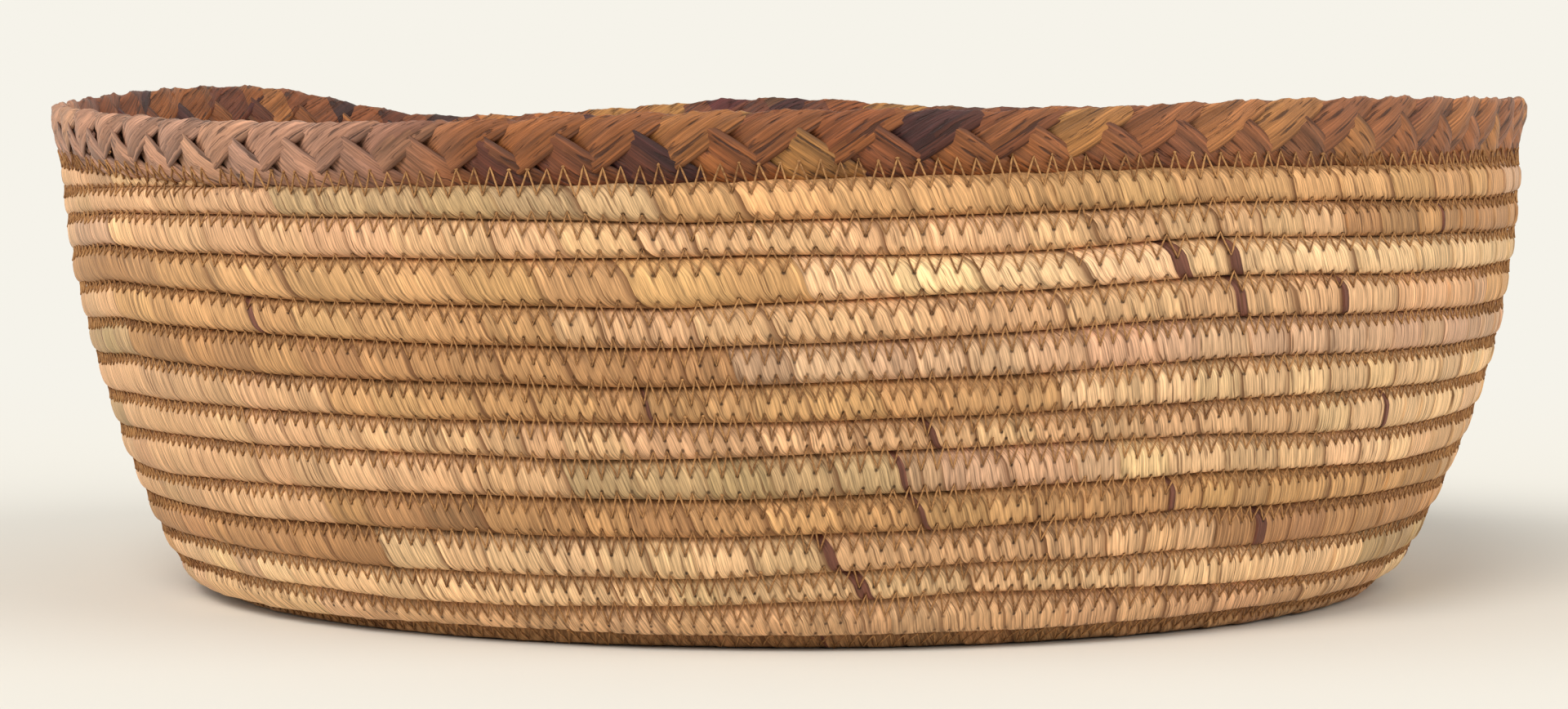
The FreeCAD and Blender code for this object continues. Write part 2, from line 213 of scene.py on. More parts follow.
def cord_middle(turn):
    """Length along the profile to the cord's middle, and its half height there, in mm."""
    low, high = seam_shift(turn - 1), seam_shift(turn)
    even = START_RADIUS + turn * PITCH
    middle, half = even + (low + high) / 2, (PITCH + high - low) / 2
    # the first pass starts as a thin curl, and the last one thins out under the plait
    start = START_RADIUS * np.clip(1 + turn, 0.15, 1)
    end = np.maximum(PITCH * run_out(turn) / 2, 0.1)
    middle = np.where(turn < 0, start, np.where(turn > LAST_TURN, rim_length(turn) - end, middle))
    half = np.where(turn < 0, start, np.where(turn > LAST_TURN, end, half))
    return middle, half


def summed(rate):
    """Running total over TURNS of something that comes at this rate per turn."""
    return np.concatenate([[0], np.cumsum(np.diff(TURNS) * (rate[1:] + rate[:-1]) / 2)])


ARC = summed(2 * math.pi * profile(cord_middle(TURNS)[0])[0])


def arc_at(turn):
    return np.interp(turn, TURNS, ARC)


def turn_at(arc):
    return np.interp(arc, ARC, TURNS)


print("cord", round(arc_at(END_TURN) / 1000, 2), "m long")

# %% [markdown]
# A strip of leaf is wound round the fibre bundle in a long slant, each wind lapping the one
# before, so the strip's fibres and edges run across the cord at an angle. A twisted texture on a
# plain tube would show no edges against the light. Here the tube's mesh lines are the leaf's own
# lines instead: twelve to each wind, each one slanting round the cord by exactly one wind, so
# that the mesh closes on itself with no seam, and the lapped edge is a real step.

# %% Winds of leaf along the cord
random = np.random.default_rng(41)
WIND_TURNS = [0, 14, 16, 18, 20, 22, 23.4, 24.4, 25.2, 26.2, 27, 28]
WIND_MM = [12, 11, 10, 10.5, 11, 10, 11, 12, 17, 11.5, 14, 13]
LINES = np.array([0, 0.02, 0.08, 0.15, 0.25, 0.36, 0.48, 0.61, 0.74, 0.85, 0.93, 0.98])
PER_WIND = len(LINES)

edges = [arc_at(FIRST_TURN) - 10]
while edges[-1] < arc_at(END_TURN):
    usual = np.interp(turn_at(edges[-1]), WIND_TURNS, WIND_MM)
    edges.append(edges[-1] + random.uniform(0.62, 1.3) * usual)
WIND_EDGES = np.array(edges)
WINDS = len(WIND_EDGES) - 1
LINE_ARC = (WIND_EDGES[:-1, None] + np.diff(WIND_EDGES)[:, None] * LINES).ravel()
print(WINDS, "winds of leaf,", round(float(np.diff(WIND_EDGES).mean()), 1), "mm each")

# %% [markdown]
# Here and there a sliver of darker leaf is caught under a lapped edge. A strip of its own would
# be too thin to wind, so it is the first part of a wind in another colour. A few lie at listed
# passes and azimuths, and chance adds some more.

# %% Slivers of darker leaf
SLIVERS = [(17, 271.5), (18, 268), (18, 309), (19, 298), (20, 277), (21, 279.5), (24, 227),
           (24, 314), (25, 296), (25, 300.5)]
sliver_share = np.where(random.random(WINDS) < 0.03, random.uniform(0.03, 0.1, WINDS), 0)
for lap, azimuth in SLIVERS:
    turn = lap + (azimuth - math.degrees(START_AZIMUTH)) / 360
    sliver_share[np.searchsorted(WIND_EDGES, arc_at(turn))] = random.uniform(0.09, 0.2)
print(int((sliver_share > 0).sum()), "slivers")

# %% [markdown]
# The strips are not one colour: leaves range from pale straw to rosy brown, and a maker uses up
# one bundle after another. These are the tones of the dry leaf and how often each comes up.

# %% Tones of dry leaf
def linear(hex_colour):
    """An sRGB hex colour as linear red, green and blue."""
    parts = [int(hex_colour[i:i + 2], 16) / 255 for i in (1, 3, 5)]
    return np.array([p / 12.92 if p <= 0.04045 else ((p + 0.055) / 1.055) ** 2.4 for p in parts])


LEAF_TONES = {"straw": "#ecc190", "tan": "#deaf81", "honey": "#d1a06c", "pale": "#f3cb9a",
              "rosy": "#d8ac87", "umber": "#bd8d5f", "khaki": "#c4a276", "plum": "#74493a"}
COMMON = ["straw", "tan", "honey", "pale", "rosy", "umber", "khaki"]
SHARES = [0.22, 0.26, 0.20, 0.07, 0.12, 0.09, 0.04]
print(len(LEAF_TONES), "tones of leaf,", len(COMMON), "of them common")

# %% [markdown]
# One leaf lasts four to sixteen winds, then the next one starts in a tone picked by chance, and
# each wind differs a little from the one before. The wall's lowest pass, low by the table, gets
# a painted shade: its tone is mostly a darker umber. The tones are kept on the mesh, so one
# material serves the whole cord.

# %% The tone of each wind
LOWEST_PASS_SHADE = linear(LEAF_TONES["umber"])
wind_tones = np.zeros((WINDS, 3))
lasts = 0
for number, turn in enumerate(turn_at((WIND_EDGES[1:] + WIND_EDGES[:-1]) / 2)):
    if lasts <= 0:
        lasts = int(random.integers(4, 16))
        leaf_tone = linear(LEAF_TONES[random.choice(COMMON, p=SHARES)])
        weight = random.uniform(0.1, 0.35)
    lasts -= 1
    tone = leaf_tone
    # painted shade on the wall's lowest pass, mostly in a darker umber
    if FLOOR_TURNS <= turn < FLOOR_TURNS + 1:
        tone = LOWEST_PASS_SHADE * (1 - weight) + leaf_tone * weight
    wind_tones[number] = tone * random.normal(1.0, 0.075) * random.normal(1, 0.015, 3)
wind_tones = np.clip(wind_tones, 0.02, 0.95)
print("leaf tones for", WINDS, "winds, mean", wind_tones.mean(0).round(3))

# %% [markdown]
# ## The seams
#
# Every seam is sewn with the same zigzag, but the needle reaches further from the seam at the
# front than at the sides. The stitches are counted along all the seams once, so that the thread
# and the needle holes that are drawn in the leaf meet at the same places.

# %% Reach and count of the stitches
RIM_SEAM_FROM = LAST_TURN - 1 + 0.155       # the turn from which the seam holds the plait
REACH_UP, REACH_DOWN = 1.9, 2.6
RIM_REACH_UP, RIM_REACH_DOWN = 3.4, 1.8
REACH_AT = [168, 205, 235, 255, 290, 305, 320, 345, 400, 528]
UP_SHARES = [0.5, 0.35, 0.5, 0.95, 0.8, 0.55, 0.45, 0.45, 0.6, 0.5]
DOWN_SHARES = [0.6, 0.5, 0.8, 1.0, 1.05, 0.95, 0.6, 0.5, 0.7, 0.6]
FLOOR_SHARE = 0.8
STITCH_TURNS = [0, 13, 14, 23.5, 24.0, 24.8, 25.6, 26.2, 27, 28]
STITCH_MM = [3.3, 3.2, 2.6, 2.7, 3.4, 3.6, 3.8, 3.3, 3.4, 3.4]


def seam_length(turn):
    """Length along the profile to the seam above the cord at this turn."""
    in_wall = START_RADIUS + (turn + 0.5) * PITCH + seam_shift(turn)
    return np.where(turn > RIM_SEAM_FROM, rim_length(turn), in_wall)


def reach_shares(turn):
    """How far the stitches reach up and down here, as shares of the reach at the front."""
    azimuth = math.degrees(START_AZIMUTH) + 360 * (turn % 1)
    up, down = np.interp(azimuth, REACH_AT, UP_SHARES), np.interp(azimuth, REACH_AT, DOWN_SHARES)
    # lower down, the front's stitches reach as far up as they reach down
    up = up * np.where((turn < LAST_TURN - 4.5) & (up > 0.7), 1.35, 1.0)
    on_floor, on_rim = turn < FLOOR_TURNS - 1, turn > RIM_SEAM_FROM
    return (np.where(on_floor, FLOOR_SHARE, np.where(on_rim, 0.5 + up / 2, up)),
            np.where(on_floor, FLOOR_SHARE, down))


seam_radius = np.maximum(profile(seam_length(TURNS))[0], 1.0)
STITCHES = summed(2 * math.pi * seam_radius / np.interp(TURNS, STITCH_TURNS, STITCH_MM))
print("stitches on all seams:", int(STITCHES[-1]))

# %% [markdown]
# ## The cord's mesh
#
# A cord like this could be a swept curve, but a sweep puts its rings square to the cord and its
# faces across the leaf's fibres. So the points are worked out here: a point's place along the
# cord and its place round it give where it lies. The section isn't round, as the thread squeezes
# each pass against the next into a rounded box, and the table presses the lowest points flat.

# %% The cord's squared section
SQUARENESS = 0.68                           # 1 is round, 0 is square
DEEPEST = 3.52
TABLE_GAP = 0.3


def rounded(value):
    """A sine or cosine that holds on longer near its ends, as along a rounded box."""
    return np.sign(value) * np.abs(value) ** SQUARENESS


def cord_surface(arc, around, relief):
    """Points in mm on the cord, around from the seam below through its outer face."""
    turn = turn_at(arc)
    middle, half = cord_middle(turn)
    depth = np.minimum(half * 0.97, DEEPEST) + relief
    up = -(half + relief * 0.2) * rounded(np.cos(around))
    out = depth * rounded(np.sin(around))
    radius, height, slope = profile(middle)
    across = radius + up * np.cos(slope) + out * np.sin(slope)
    level = np.maximum(height + up * np.sin(slope) - out * np.cos(slope), TABLE_GAP)
    angle = 2 * math.pi * turn + START_AZIMUTH
    return settle(np.stack([across * np.cos(angle), across * np.sin(angle), level], -1))


print("cord", 2 * DEEPEST, "mm deep in a pitch of", PITCH, "mm")

# %% [markdown]
# The strip's lapped edge stands a quarter of a millimetre proud, some more and some less, and
# the strip sinks back to the cord before the next one covers it. This is real relief in the
# mesh, as a bump in the material would vanish at the cord's outline.

# %% Relief of the lapped strips
wind_lift = random.uniform(0.16, 0.5, WINDS)
wind_swell = random.normal(0, 0.07, WINDS)
# painted shade under each lapped edge, faint under some edges and dark under others
edge_shade_share = random.uniform(0.9, 1.045, WINDS)


def leaf_relief(line, around):
    """How far in mm the leaf stands off the plain cord along one mesh line."""
    wind, step = line // PER_WIND, line % PER_WIND
    lapped = np.where(step == 0, 0.0, wind_lift[wind] * (1 - LINES[step]) ** 0.8)
    swollen = wind_swell[wind] * np.sin(math.pi * LINES[step])
    return (lapped + swollen) * np.abs(np.sin(around)) ** 1.5


print("edges stand up to", round(float(wind_lift.max()), 2), "mm proud")

# %% [markdown]
# The faces follow the mesh lines. A line starts at the seam below and has slipped back by one
# wind when it has gone once round, so its far end is the near end of the line one wind before
# it, and the grid needs no join. Each end of a piece is then one slanted loop, closed with a fan.

# %% The grid of points and its two ends
def arc_on_lines(lines, share):
    """Length along the cord on mesh lines, at each share of the way round."""
    before = np.clip(lines - PER_WIND, 0, None)
    return LINE_ARC[lines][:, None] * (1 - share) + LINE_ARC[before][:, None] * share


def corner_values(grid):
    """A value at each grid point as one value for each corner of its quads."""
    return np.stack([grid[:-1, :-1], grid[1:, :-1], grid[1:, 1:], grid[:-1, 1:]], -1)


def cord_grid(first_line, last_line, columns):
    """Points, their numbers by line, and quads of the cord between two mesh lines."""
    lines = np.arange(first_line - PER_WIND, last_line + 1)
    share = np.arange(columns) / columns
    arc = arc_on_lines(lines, share)
    around = np.broadcast_to(2 * math.pi * share, arc.shape)
    points = cord_surface(arc, around, leaf_relief(lines[:, None], around))
    index = np.arange(arc.size).reshape(arc.shape)
    closed = np.concatenate([index[PER_WIND:], index[:-PER_WIND, :1]], axis=1)
    return points.reshape(-1, 3), index, corner_values(closed).reshape(-1, 4)


def end_fans(points, index):
    """Triangles that close the two ends, and the point in the middle of each."""
    fans, centres = [], []
    for end, turned in ((PER_WIND, False), (len(index) - 1, True)):
        loop = list(index[end]) + list(index[end - PER_WIND:end, 0])
        centre = len(points) + len(centres)
        centres.append(points[loop].mean(0))
        for here, after in zip(loop, loop[1:] + loop[:1]):
            fans.append((here, centre, after) if turned else (here, after, centre))
    return np.array(fans), centres


print("one wind of wall cord has", PER_WIND, "rows of quads")

# %% [markdown]
# A material needs to know where it is on the leaf. The first map has millimetres across the
# strip and along its fibres, with another part of the pattern for each strip. The other two have
# the stitch count along a seam and the distance from it, for the seam above and the one below.

# %% Maps of the leaf and of its stitches
GIRTH = 22.5
NEXT_STRIP = ((17.3, 211), (31.7, 173))     # mm that the pattern moves on, and where it restarts


def strip_map(own, share):
    """Millimetres across the strip and along its fibres at the corners of every quad."""
    row, wind = own[:-1], own[:-1] // PER_WIND
    (across_step, across_end), (along_step, along_end) = NEXT_STRIP
    length = np.hypot(GIRTH, np.diff(WIND_EDGES)[wind])
    slant = GIRTH / length
    low = (LINE_ARC[row] - WIND_EDGES[wind]) * slant + wind * across_step % across_end
    high = low + (LINE_ARC[own[1:]] - LINE_ARC[row]) * slant
    across = np.stack([low, high, high, low], -1)[:, None, :]
    along = share[None, :] * length[:, None] + (wind * along_step % along_end)[:, None]
    along = np.stack([along[:, :-1], along[:, :-1], along[:, 1:], along[:, 1:]], -1)
    return np.broadcast_to(across, along.shape), along


def stitch_map(own, share, above):
    """Stitch count and mm from the seam above or below, as far as the stitches reach there."""
    turn = turn_at(arc_on_lines(own, share))
    half = cord_middle(turn)[1]
    distance = half * (1 - rounded(np.cos(2 * math.pi * share)))
    if above:
        distance = (2 * half - distance) * np.where(turn > RIM_SEAM_FROM,
                                                    REACH_DOWN / RIM_REACH_DOWN, 1.0)
        distance = distance / reach_shares(turn)[1]
    else:
        distance = distance / reach_shares(turn - 1)[0]
    count = np.interp(turn if above else turn - 1, TURNS, STITCHES)
    return corner_values(count), corner_values(distance)


print("a strip is", round(math.hypot(GIRTH, WIND_MM[0])), "mm long for each wind")

# %% [markdown]
# The tone goes on the corners of the faces, not on the points, so that it changes sharply at a
# lapped edge. The fourth value, which a colour keeps for how solid it is, tells the material how
# near the next strip's edge is, so that it can paint the shade that lies under that edge.

# %% Tones on the mesh
def corner_tones(own, columns):
    """Colour, and nearness to the next strip's edge, at the corners of every quad."""
    wind, step, next_step = own[:-1] // PER_WIND, own[:-1] % PER_WIND, own[1:] % PER_WIND
    in_sliver = LINES[step] < sliver_share[wind]
    low, high = LINES[step], np.where(next_step == 0, 1.0, LINES[next_step])
    nearness = np.stack([low, high, high, low], -1) * edge_shade_share[wind][:, None]
    tones = np.ones((len(wind), columns, 4, 4), np.float32)
    tones[..., :3] = np.where(in_sliver[:, None], linear(LEAF_TONES["plum"]),
                              wind_tones[wind])[:, None, None]
    tones[..., 3] = nearness[:, None]
    return tones.reshape(-1, 4)


print("nearness is 0 at a strip's edge and about 1 where the next strip lies on it")

# %% [markdown]
# Meshes of this size are too slow to build face by face in Python. Blender takes whole arrays
# instead: the points, the corners' point numbers, and where each face starts among the corners.

# %% Meshes from arrays
def mesh_of(name, points, *face_arrays):
    """A mesh from points in metres and arrays of faces, one for each number of corners."""
    corners = np.concatenate([faces.ravel() for faces in face_arrays])
    sizes = np.concatenate([np.full(len(faces), faces.shape[1]) for faces in face_arrays])
    starts = np.concatenate([[0], np.cumsum(sizes)[:-1]])
    mesh = bpy.data.meshes.new(name)
    mesh.vertices.add(len(points))
    mesh.vertices.foreach_set("co", points.astype(np.float32).ravel())
    mesh.loops.add(len(corners))
    mesh.loops.foreach_set("vertex_index", corners.astype(np.int32))
    mesh.polygons.add(len(sizes))
    mesh.polygons.foreach_set("loop_start", starts.astype(np.int32))
    mesh.update(calc_edges=True)
    return mesh


def put_in_scene(name, data):
    """A new object that shows this mesh, lamp or camera."""
    thing = bpy.data.objects.new(name, data)
    bpy.context.scene.collection.objects.link(thing)
    return thing


print("helpers ready for", WINDS * PER_WIND, "rows of faces")

# %% [markdown]
# One function puts a piece of the cord together. The grid goes back by one wind to find its
# last column, so it has points that no face uses; those are dropped and the rest renumbered.
# Edges sharper than sixty-two degrees, which are the lapped ones, are not smoothed over.

# %% One piece of the cord
def make_cord(name, first_line, last_line, columns):
    """A closed piece of the cord between two mesh lines, with its maps and tones."""
    points, index, quads = cord_grid(first_line, last_line, columns)
    fans, centres = end_fans(points, index)
    used, corners = np.unique(np.concatenate([quads.ravel(), fans.ravel()]),
                              return_inverse=True)
    on_quads = quads.size
    mesh = mesh_of(name, np.concatenate([points, centres])[used] * MM,
                   corners[:on_quads].reshape(-1, 4), corners[on_quads:].reshape(-1, 3))
    mesh.shade_smooth()
    mesh.set_sharp_from_angle(angle=math.radians(62))
    own, share = np.arange(first_line, last_line + 1), np.arange(columns + 1) / columns
    for label, (u, v) in (("leaf", strip_map(own, share)),
                          ("stitch_up", stitch_map(own, share, above=True)),
                          ("stitch_low", stitch_map(own, share, above=False))):
        values = np.zeros((len(corners), 2), np.float32)
        values[:on_quads, 0], values[:on_quads, 1] = u.ravel(), v.ravel()
        mesh.uv_layers.new(name=label).data.foreach_set("uv", values.ravel())
    tones = np.ones((len(corners), 4), np.float32)
    tones[:on_quads] = corner_tones(own, columns)
    tones[on_quads:, :3] = linear(LEAF_TONES["honey"])
    layer = mesh.attributes.new("leaf_tone", "FLOAT_COLOR", "CORNER")
    layer.data.foreach_set("color", tones.ravel())
    return put_in_scene(name, mesh)


print("maps on a piece of cord: leaf, stitch_up, stitch_low")

# %% [markdown]
# The wall's solids are one to a turn, and so are its pieces here, each cut at the edge of a
# wind of leaf. The floor is one solid, but as one mesh it would be too heavy, so it is three.

# %% Make the cord, turn by turn
WALL_COLUMNS, FLOOR_COLUMNS = 28, 18
FLOOR_CUTS = (8.6, 12.3, FLOOR_TURNS)
WALL_NUMBERS = range(1, LAST_TURN - FLOOR_TURNS + 1)


def line_near(turn):
    """The first mesh line of the wind whose edge is nearest to this turn."""
    return int(np.argmin(np.abs(WIND_EDGES[:-1] - arc_at(turn)))) * PER_WIND


cord_pieces = {}
cuts = [PER_WIND] + [line_near(turn) for turn in FLOOR_CUTS]
for number, (first, last) in enumerate(zip(cuts, cuts[1:]), start=1):
    label = "floor_coil_%d" % number
    cord_pieces[label] = (make_cord(label, first, last, FLOOR_COLUMNS),
                          ["base_wrap", "base_core"])
for number in WALL_NUMBERS:
    label, above = "wall_coil_%02d" % number, FLOOR_TURNS + number
    cord_pieces[label] = (make_cord(label, line_near(above - 1), line_near(above), WALL_COLUMNS),
                          ["wall_wrap_%02d" % number, "wall_core_%02d" % number])
cord_pieces["coil_end"] = (make_cord("coil_end", line_near(LAST_TURN),
                                     (WINDS - 1) * PER_WIND, WALL_COLUMNS),
                           ["tail_wrap", "tail_core"])
for label, (piece, nodes) in cord_pieces.items():
    print(label, len(piece.data.polygons), "faces")

# %% [markdown]
# ## Dry palm leaf
#
# Palm leaf dries to a matt straw brown, ribbed along its length by fibres about a third of a
# millimetre apart, with darker streaks and a few open splits. A wood texture would have rings,
# so each pattern is a noise stretched many times along the strip, in the leaf's own map. Every
# material and tree below is built by one small function, which adds a node and links it.

# %% A helper that adds a node
MATH, VECTOR, RANGE, NOISE = ("ShaderNodeMath", "ShaderNodeVectorMath", "ShaderNodeMapRange",
                              "ShaderNodeTexNoise")


def add(tree, kind, inputs=(), **settings):
    """Adds a node with its settings, and gives each input a value, a socket or a node."""
    node = tree.nodes.new(kind)
    for name, value in settings.items():
        setattr(node, name, value)
    for key, value in inputs.items() if isinstance(inputs, dict) else enumerate(inputs):
        if isinstance(value, bpy.types.Node):
            value = value.outputs[0]
        if isinstance(value, bpy.types.NodeSocket):
            tree.links.new(value, node.inputs[key])
        else:
            node.inputs[key].default_value = value
    return node


def new_material(name):
    """A material with only a shader and its output, and the tree and shader by themselves."""
    material = bpy.data.materials.new(name)
    material.use_nodes = True
    tree = material.node_tree
    tree.nodes.clear()
    shader = add(tree, "ShaderNodeBsdfPrincipled")
    add(tree, "ShaderNodeOutputMaterial", {"Surface": shader})
    return material, tree, shader


def rgba(hex_colour):
    return (*linear(hex_colour), 1.0)


palm, tree, shader = new_material("dried_palm_leaf")
print(palm.name, "starts with", [node.name for node in tree.nodes])

# %% [markdown]
# A Mapping node sets how many noise cells there are to a millimetre, across the strip and along
# it: fine fibres, broad bands, and long thin splits where the noise is lowest. Stains go by the
# place on the basket, because damp and handling don't stop at a strip's edge.

# %% The leaf's fibres, bands, splits and stains
FIBRES_PER_MM = 2.7
leaf_map = add(tree, "ShaderNodeUVMap", uv_map="leaf")
fine = add(tree, "ShaderNodeMapping", {"Vector": leaf_map, "Scale": (FIBRES_PER_MM, 0.1, 1)})
fibres = add(tree, NOISE, {"Vector": fine, "Scale": 1.0, "Detail": 3.0, "Roughness": 0.7})
broad = add(tree, "ShaderNodeMapping", {"Vector": leaf_map, "Scale": (0.8, 0.045, 1)})
bands = add(tree, NOISE, {"Vector": broad, "Scale": 1.0, "Detail": 2.0})
cuts = add(tree, "ShaderNodeMapping", {"Vector": leaf_map, "Scale": (1.5, 0.09, 1),
                                       "Location": (7.3, 3.1, 0)})
lowest = add(tree, NOISE, {"Vector": cuts, "Scale": 1.0, "Detail": 3.0})
split = add(tree, RANGE, {"Value": lowest, "From Min": 0.33, "From Max": 0.385,
                          "To Min": 1.0, "To Max": 0.0})
stains = add(tree, NOISE, {"Vector": add(tree, "ShaderNodeTexCoord").outputs["Object"],
                           "Scale": 60.0, "Detail": 4.0})
print("fibres", round(1 / FIBRES_PER_MM, 2), "mm apart")

# %% [markdown]
# The thread pinches the leaf into small pointed lobes with a needle hole at each tip. Holes of
# real mesh would need faces a tenth of a millimetre across, so they are drawn, with a painted
# shade inside. Each stitch map tells how far sideways the nearest needle hole is and how far the
# thread's slanting leg is. From these come the hole, the crease under the thread and the fold
# that runs on beyond it, each a painted shade and a dent in the relief.

# %% Holes, creases and pinched folds
SPACING = 3.1                               # mm for one whole zigzag
LEG_SLANT = SPACING / 2 / (REACH_UP + REACH_DOWN)
# mm within which each mark is full, and beyond which it is gone
HOLE_EDGE, CREASE_EDGE, FOLD_EDGE = (0.16, 0.42), (0.1, 0.5), (0.0, 0.5)
marks = {"hole": [], "crease": [], "pinch": []}
for label, half, reach in (("stitch_up", 0.0, REACH_DOWN), ("stitch_low", 0.5, REACH_UP)):
    stitch = add(tree, "ShaderNodeSeparateXYZ", [add(tree, "ShaderNodeUVMap", uv_map=label)])
    count = add(tree, MATH, (stitch.outputs[0], half), operation="ADD")
    away = add(tree, MATH, (add(tree, MATH, (count, 0.5), operation="PINGPONG"), SPACING),
               operation="MULTIPLY")
    beyond = add(tree, MATH, (stitch.outputs[1], reach), operation="SUBTRACT")
    distance = add(tree, VECTOR, [add(tree, "ShaderNodeCombineXYZ", (away, beyond))],
                   operation="LENGTH").outputs[1]
    leg = add(tree, MATH, (beyond, LEG_SLANT, away), operation="MULTIPLY_ADD")
    to_leg = add(tree, MATH, [leg], operation="ABSOLUTE")
    near = {}
    for mark, value, (full, none) in (("hole", distance, HOLE_EDGE),
                                      ("crease", to_leg, CREASE_EDGE),
                                      ("pinch", away, FOLD_EDGE)):
        near[mark] = add(tree, RANGE, {"Value": value, "From Min": full, "From Max": none,
                                       "To Min": 1.0, "To Max": 0.0})
    # each stitch is pulled in by its own amount
    stitch_number = add(tree, MATH, [add(tree, MATH, (count, 0.5), operation="ADD")],
                        operation="FLOOR")
    strength = add(tree, "ShaderNodeTexWhiteNoise", {"W": stitch_number},
                   noise_dimensions="1D")
    pull = add(tree, RANGE, {"Value": strength.outputs["Color"], "To Min": 0.35, "To Max": 1.0})
    below_hole = add(tree, RANGE, {"Value": beyond, "From Min": -0.3, "From Max": 0.2,
                                   "To Min": 1.0, "To Max": 0.0})
    fades = add(tree, RANGE, {"Value": add(tree, MATH, [beyond], operation="ABSOLUTE"),
                              "From Min": 0.3, "From Max": 1.9, "To Min": 1.0, "To Max": 0.0})
    for mark, share in (("hole", strength),
                        ("crease", add(tree, MATH, (pull, below_hole), operation="MULTIPLY")),
                        ("pinch", add(tree, MATH, (pull, fades), operation="MULTIPLY"))):
        marks[mark].append(add(tree, MATH, (near[mark], share), operation="MULTIPLY"))
hole, crease, pinch = (add(tree, MATH, both, operation="MAXIMUM") for both in marks.values())
print("holes", REACH_UP, "mm above a seam and", REACH_DOWN, "mm below one")

# %% [markdown]
# All of it is laid over the leaf's own tone. The streaks change its brightness by up to half
# either way. Painted shade darkens the strip's end that lies under the next one, the creases and
# folds by the thread and the needle holes, and the same parts give the relief. Dry leaf has
# hardly any gloss, so its roughness is high and its shine low.

# %% Leaf colour and relief
tone = add(tree, "ShaderNodeVertexColor", layer_name="leaf_tone")
streaks = add(tree, RANGE, {"Value": fibres, "From Min": 0.34, "From Max": 0.66,
                            "To Min": 0.5, "To Max": 1.5})
banded = add(tree, RANGE, {"Value": bands, "From Min": 0.3, "From Max": 0.7,
                           "To Min": 0.84, "To Max": 1.14})
stained = add(tree, RANGE, {"Value": stains, "From Min": 0.35, "From Max": 0.7,
                            "To Min": 1.06, "To Max": 0.86})
brightness = add(tree, MATH, (add(tree, MATH, (streaks, banded), operation="MULTIPLY"), stained),
                 operation="MULTIPLY")
streaked = add(tree, VECTOR, {0: tone, "Scale": brightness}, operation="SCALE")
# painted shade under the end of a strip, where the next strip lies on it
under_edge_shade = add(tree, RANGE, {"Value": tone.outputs["Alpha"], "From Min": 0.87,
                               "From Max": 1.0, "To Min": 0.0, "To Max": 0.85})
# the splits' own dark, and painted shade under lapped edges, beside the thread and in the folds
darkness = add(tree, MATH, (split, 0.7), operation="MULTIPLY")
for mark, weight in ((under_edge_shade, 1.0), (crease, 0.6), (pinch, 0.6)):
    darkness = add(tree, MATH, (darkness, add(tree, MATH, (mark, weight),
                                              operation="MULTIPLY")), operation="MAXIMUM")
split_and_painted_shade = add(tree, "ShaderNodeMix", {0: darkness, 6: streaked, 7: rgba("#70482b")},
             data_type="RGBA").outputs[2]
# painted shade inside the needle holes
with_hole_shade = add(tree, "ShaderNodeMix", {0: add(tree, MATH, (hole, 0.9), operation="MULTIPLY"),
                                      6: split_and_painted_shade, 7: rgba("#2e1b0e")},
              data_type="RGBA").outputs[2]
relief = add(tree, MATH, (fibres, 0.24), operation="MULTIPLY")
for mark, depth in ((split, -0.12), (crease, -0.14), (pinch, -0.2), (hole, -0.25)):
    relief = add(tree, MATH, (mark, depth, relief), operation="MULTIPLY_ADD")
bump = add(tree, "ShaderNodeBump", {"Height": relief, "Strength": 1.0, "Distance": MM})
tree.links.new(with_hole_shade, shader.inputs["Base Color"])
tree.links.new(bump.outputs[0], shader.inputs["Normal"])
shader.inputs["Roughness"].default_value = 0.6
shader.inputs["Specular IOR Level"].default_value = 0.25
for piece, nodes in cord_pieces.values():
    piece.data.materials.append(palm)
print(palm.name, "has", len(tree.nodes), "nodes")

# %% [markdown]
# ## The sewing thread
#
# A cotton thread holds each pass to the next in a zigzag, on the outer face and on the inner
# one. One stitch repeats thousands of times along a path, which is what Geometry Nodes are for.
# The input is a plain line with one point at each needle hole, and everything else about the
# stitch is a named input of the tree, so one tree sews the floor, the wall and the rim.

# %% The sewing tree and its inputs
def socket_of(tree, name):
    """The identifier of a named input of a tree."""
    return next(item.identifier for item in tree.interface.items_tree
                if item.item_type == "SOCKET" and item.in_out == "INPUT" and item.name == name)


def new_tree(name, sockets):
    """A tree that turns geometry into geometry, and its named inputs."""
    tree = bpy.data.node_groups.new(name, "GeometryNodeTree")
    for label, kind in sockets:
        tree.interface.new_socket(label, in_out="INPUT", socket_type="NodeSocket" + kind)
    tree.interface.new_socket("Result", in_out="OUTPUT", socket_type="NodeSocketGeometry")
    return tree, tree.nodes.new("NodeGroupInput").outputs


sewing, given = new_tree("zigzag_sewing", [
    ("Seam", "Geometry"), ("Leaf", "Object"), ("Reach Up", "Float"), ("Reach Down", "Float"),
    ("Unevenness", "Float"), ("Thread Radius", "Float"), ("Cuts per Leg", "Int"),
    ("Sides", "Int"), ("Knot Share", "Float"), ("Thread", "Material")])
print(sewing.name, "takes", [socket.name for socket in given if socket.name])

# %% [markdown]
# The line carries which way is up the wall and which way is out of it. The tree pulls every
# other point up into the pass above and the rest down, each a little more or less than it
# should and a little to one side, as a hand-fed machine does. The seeds are fixed, so the same
# stitches come out each time.

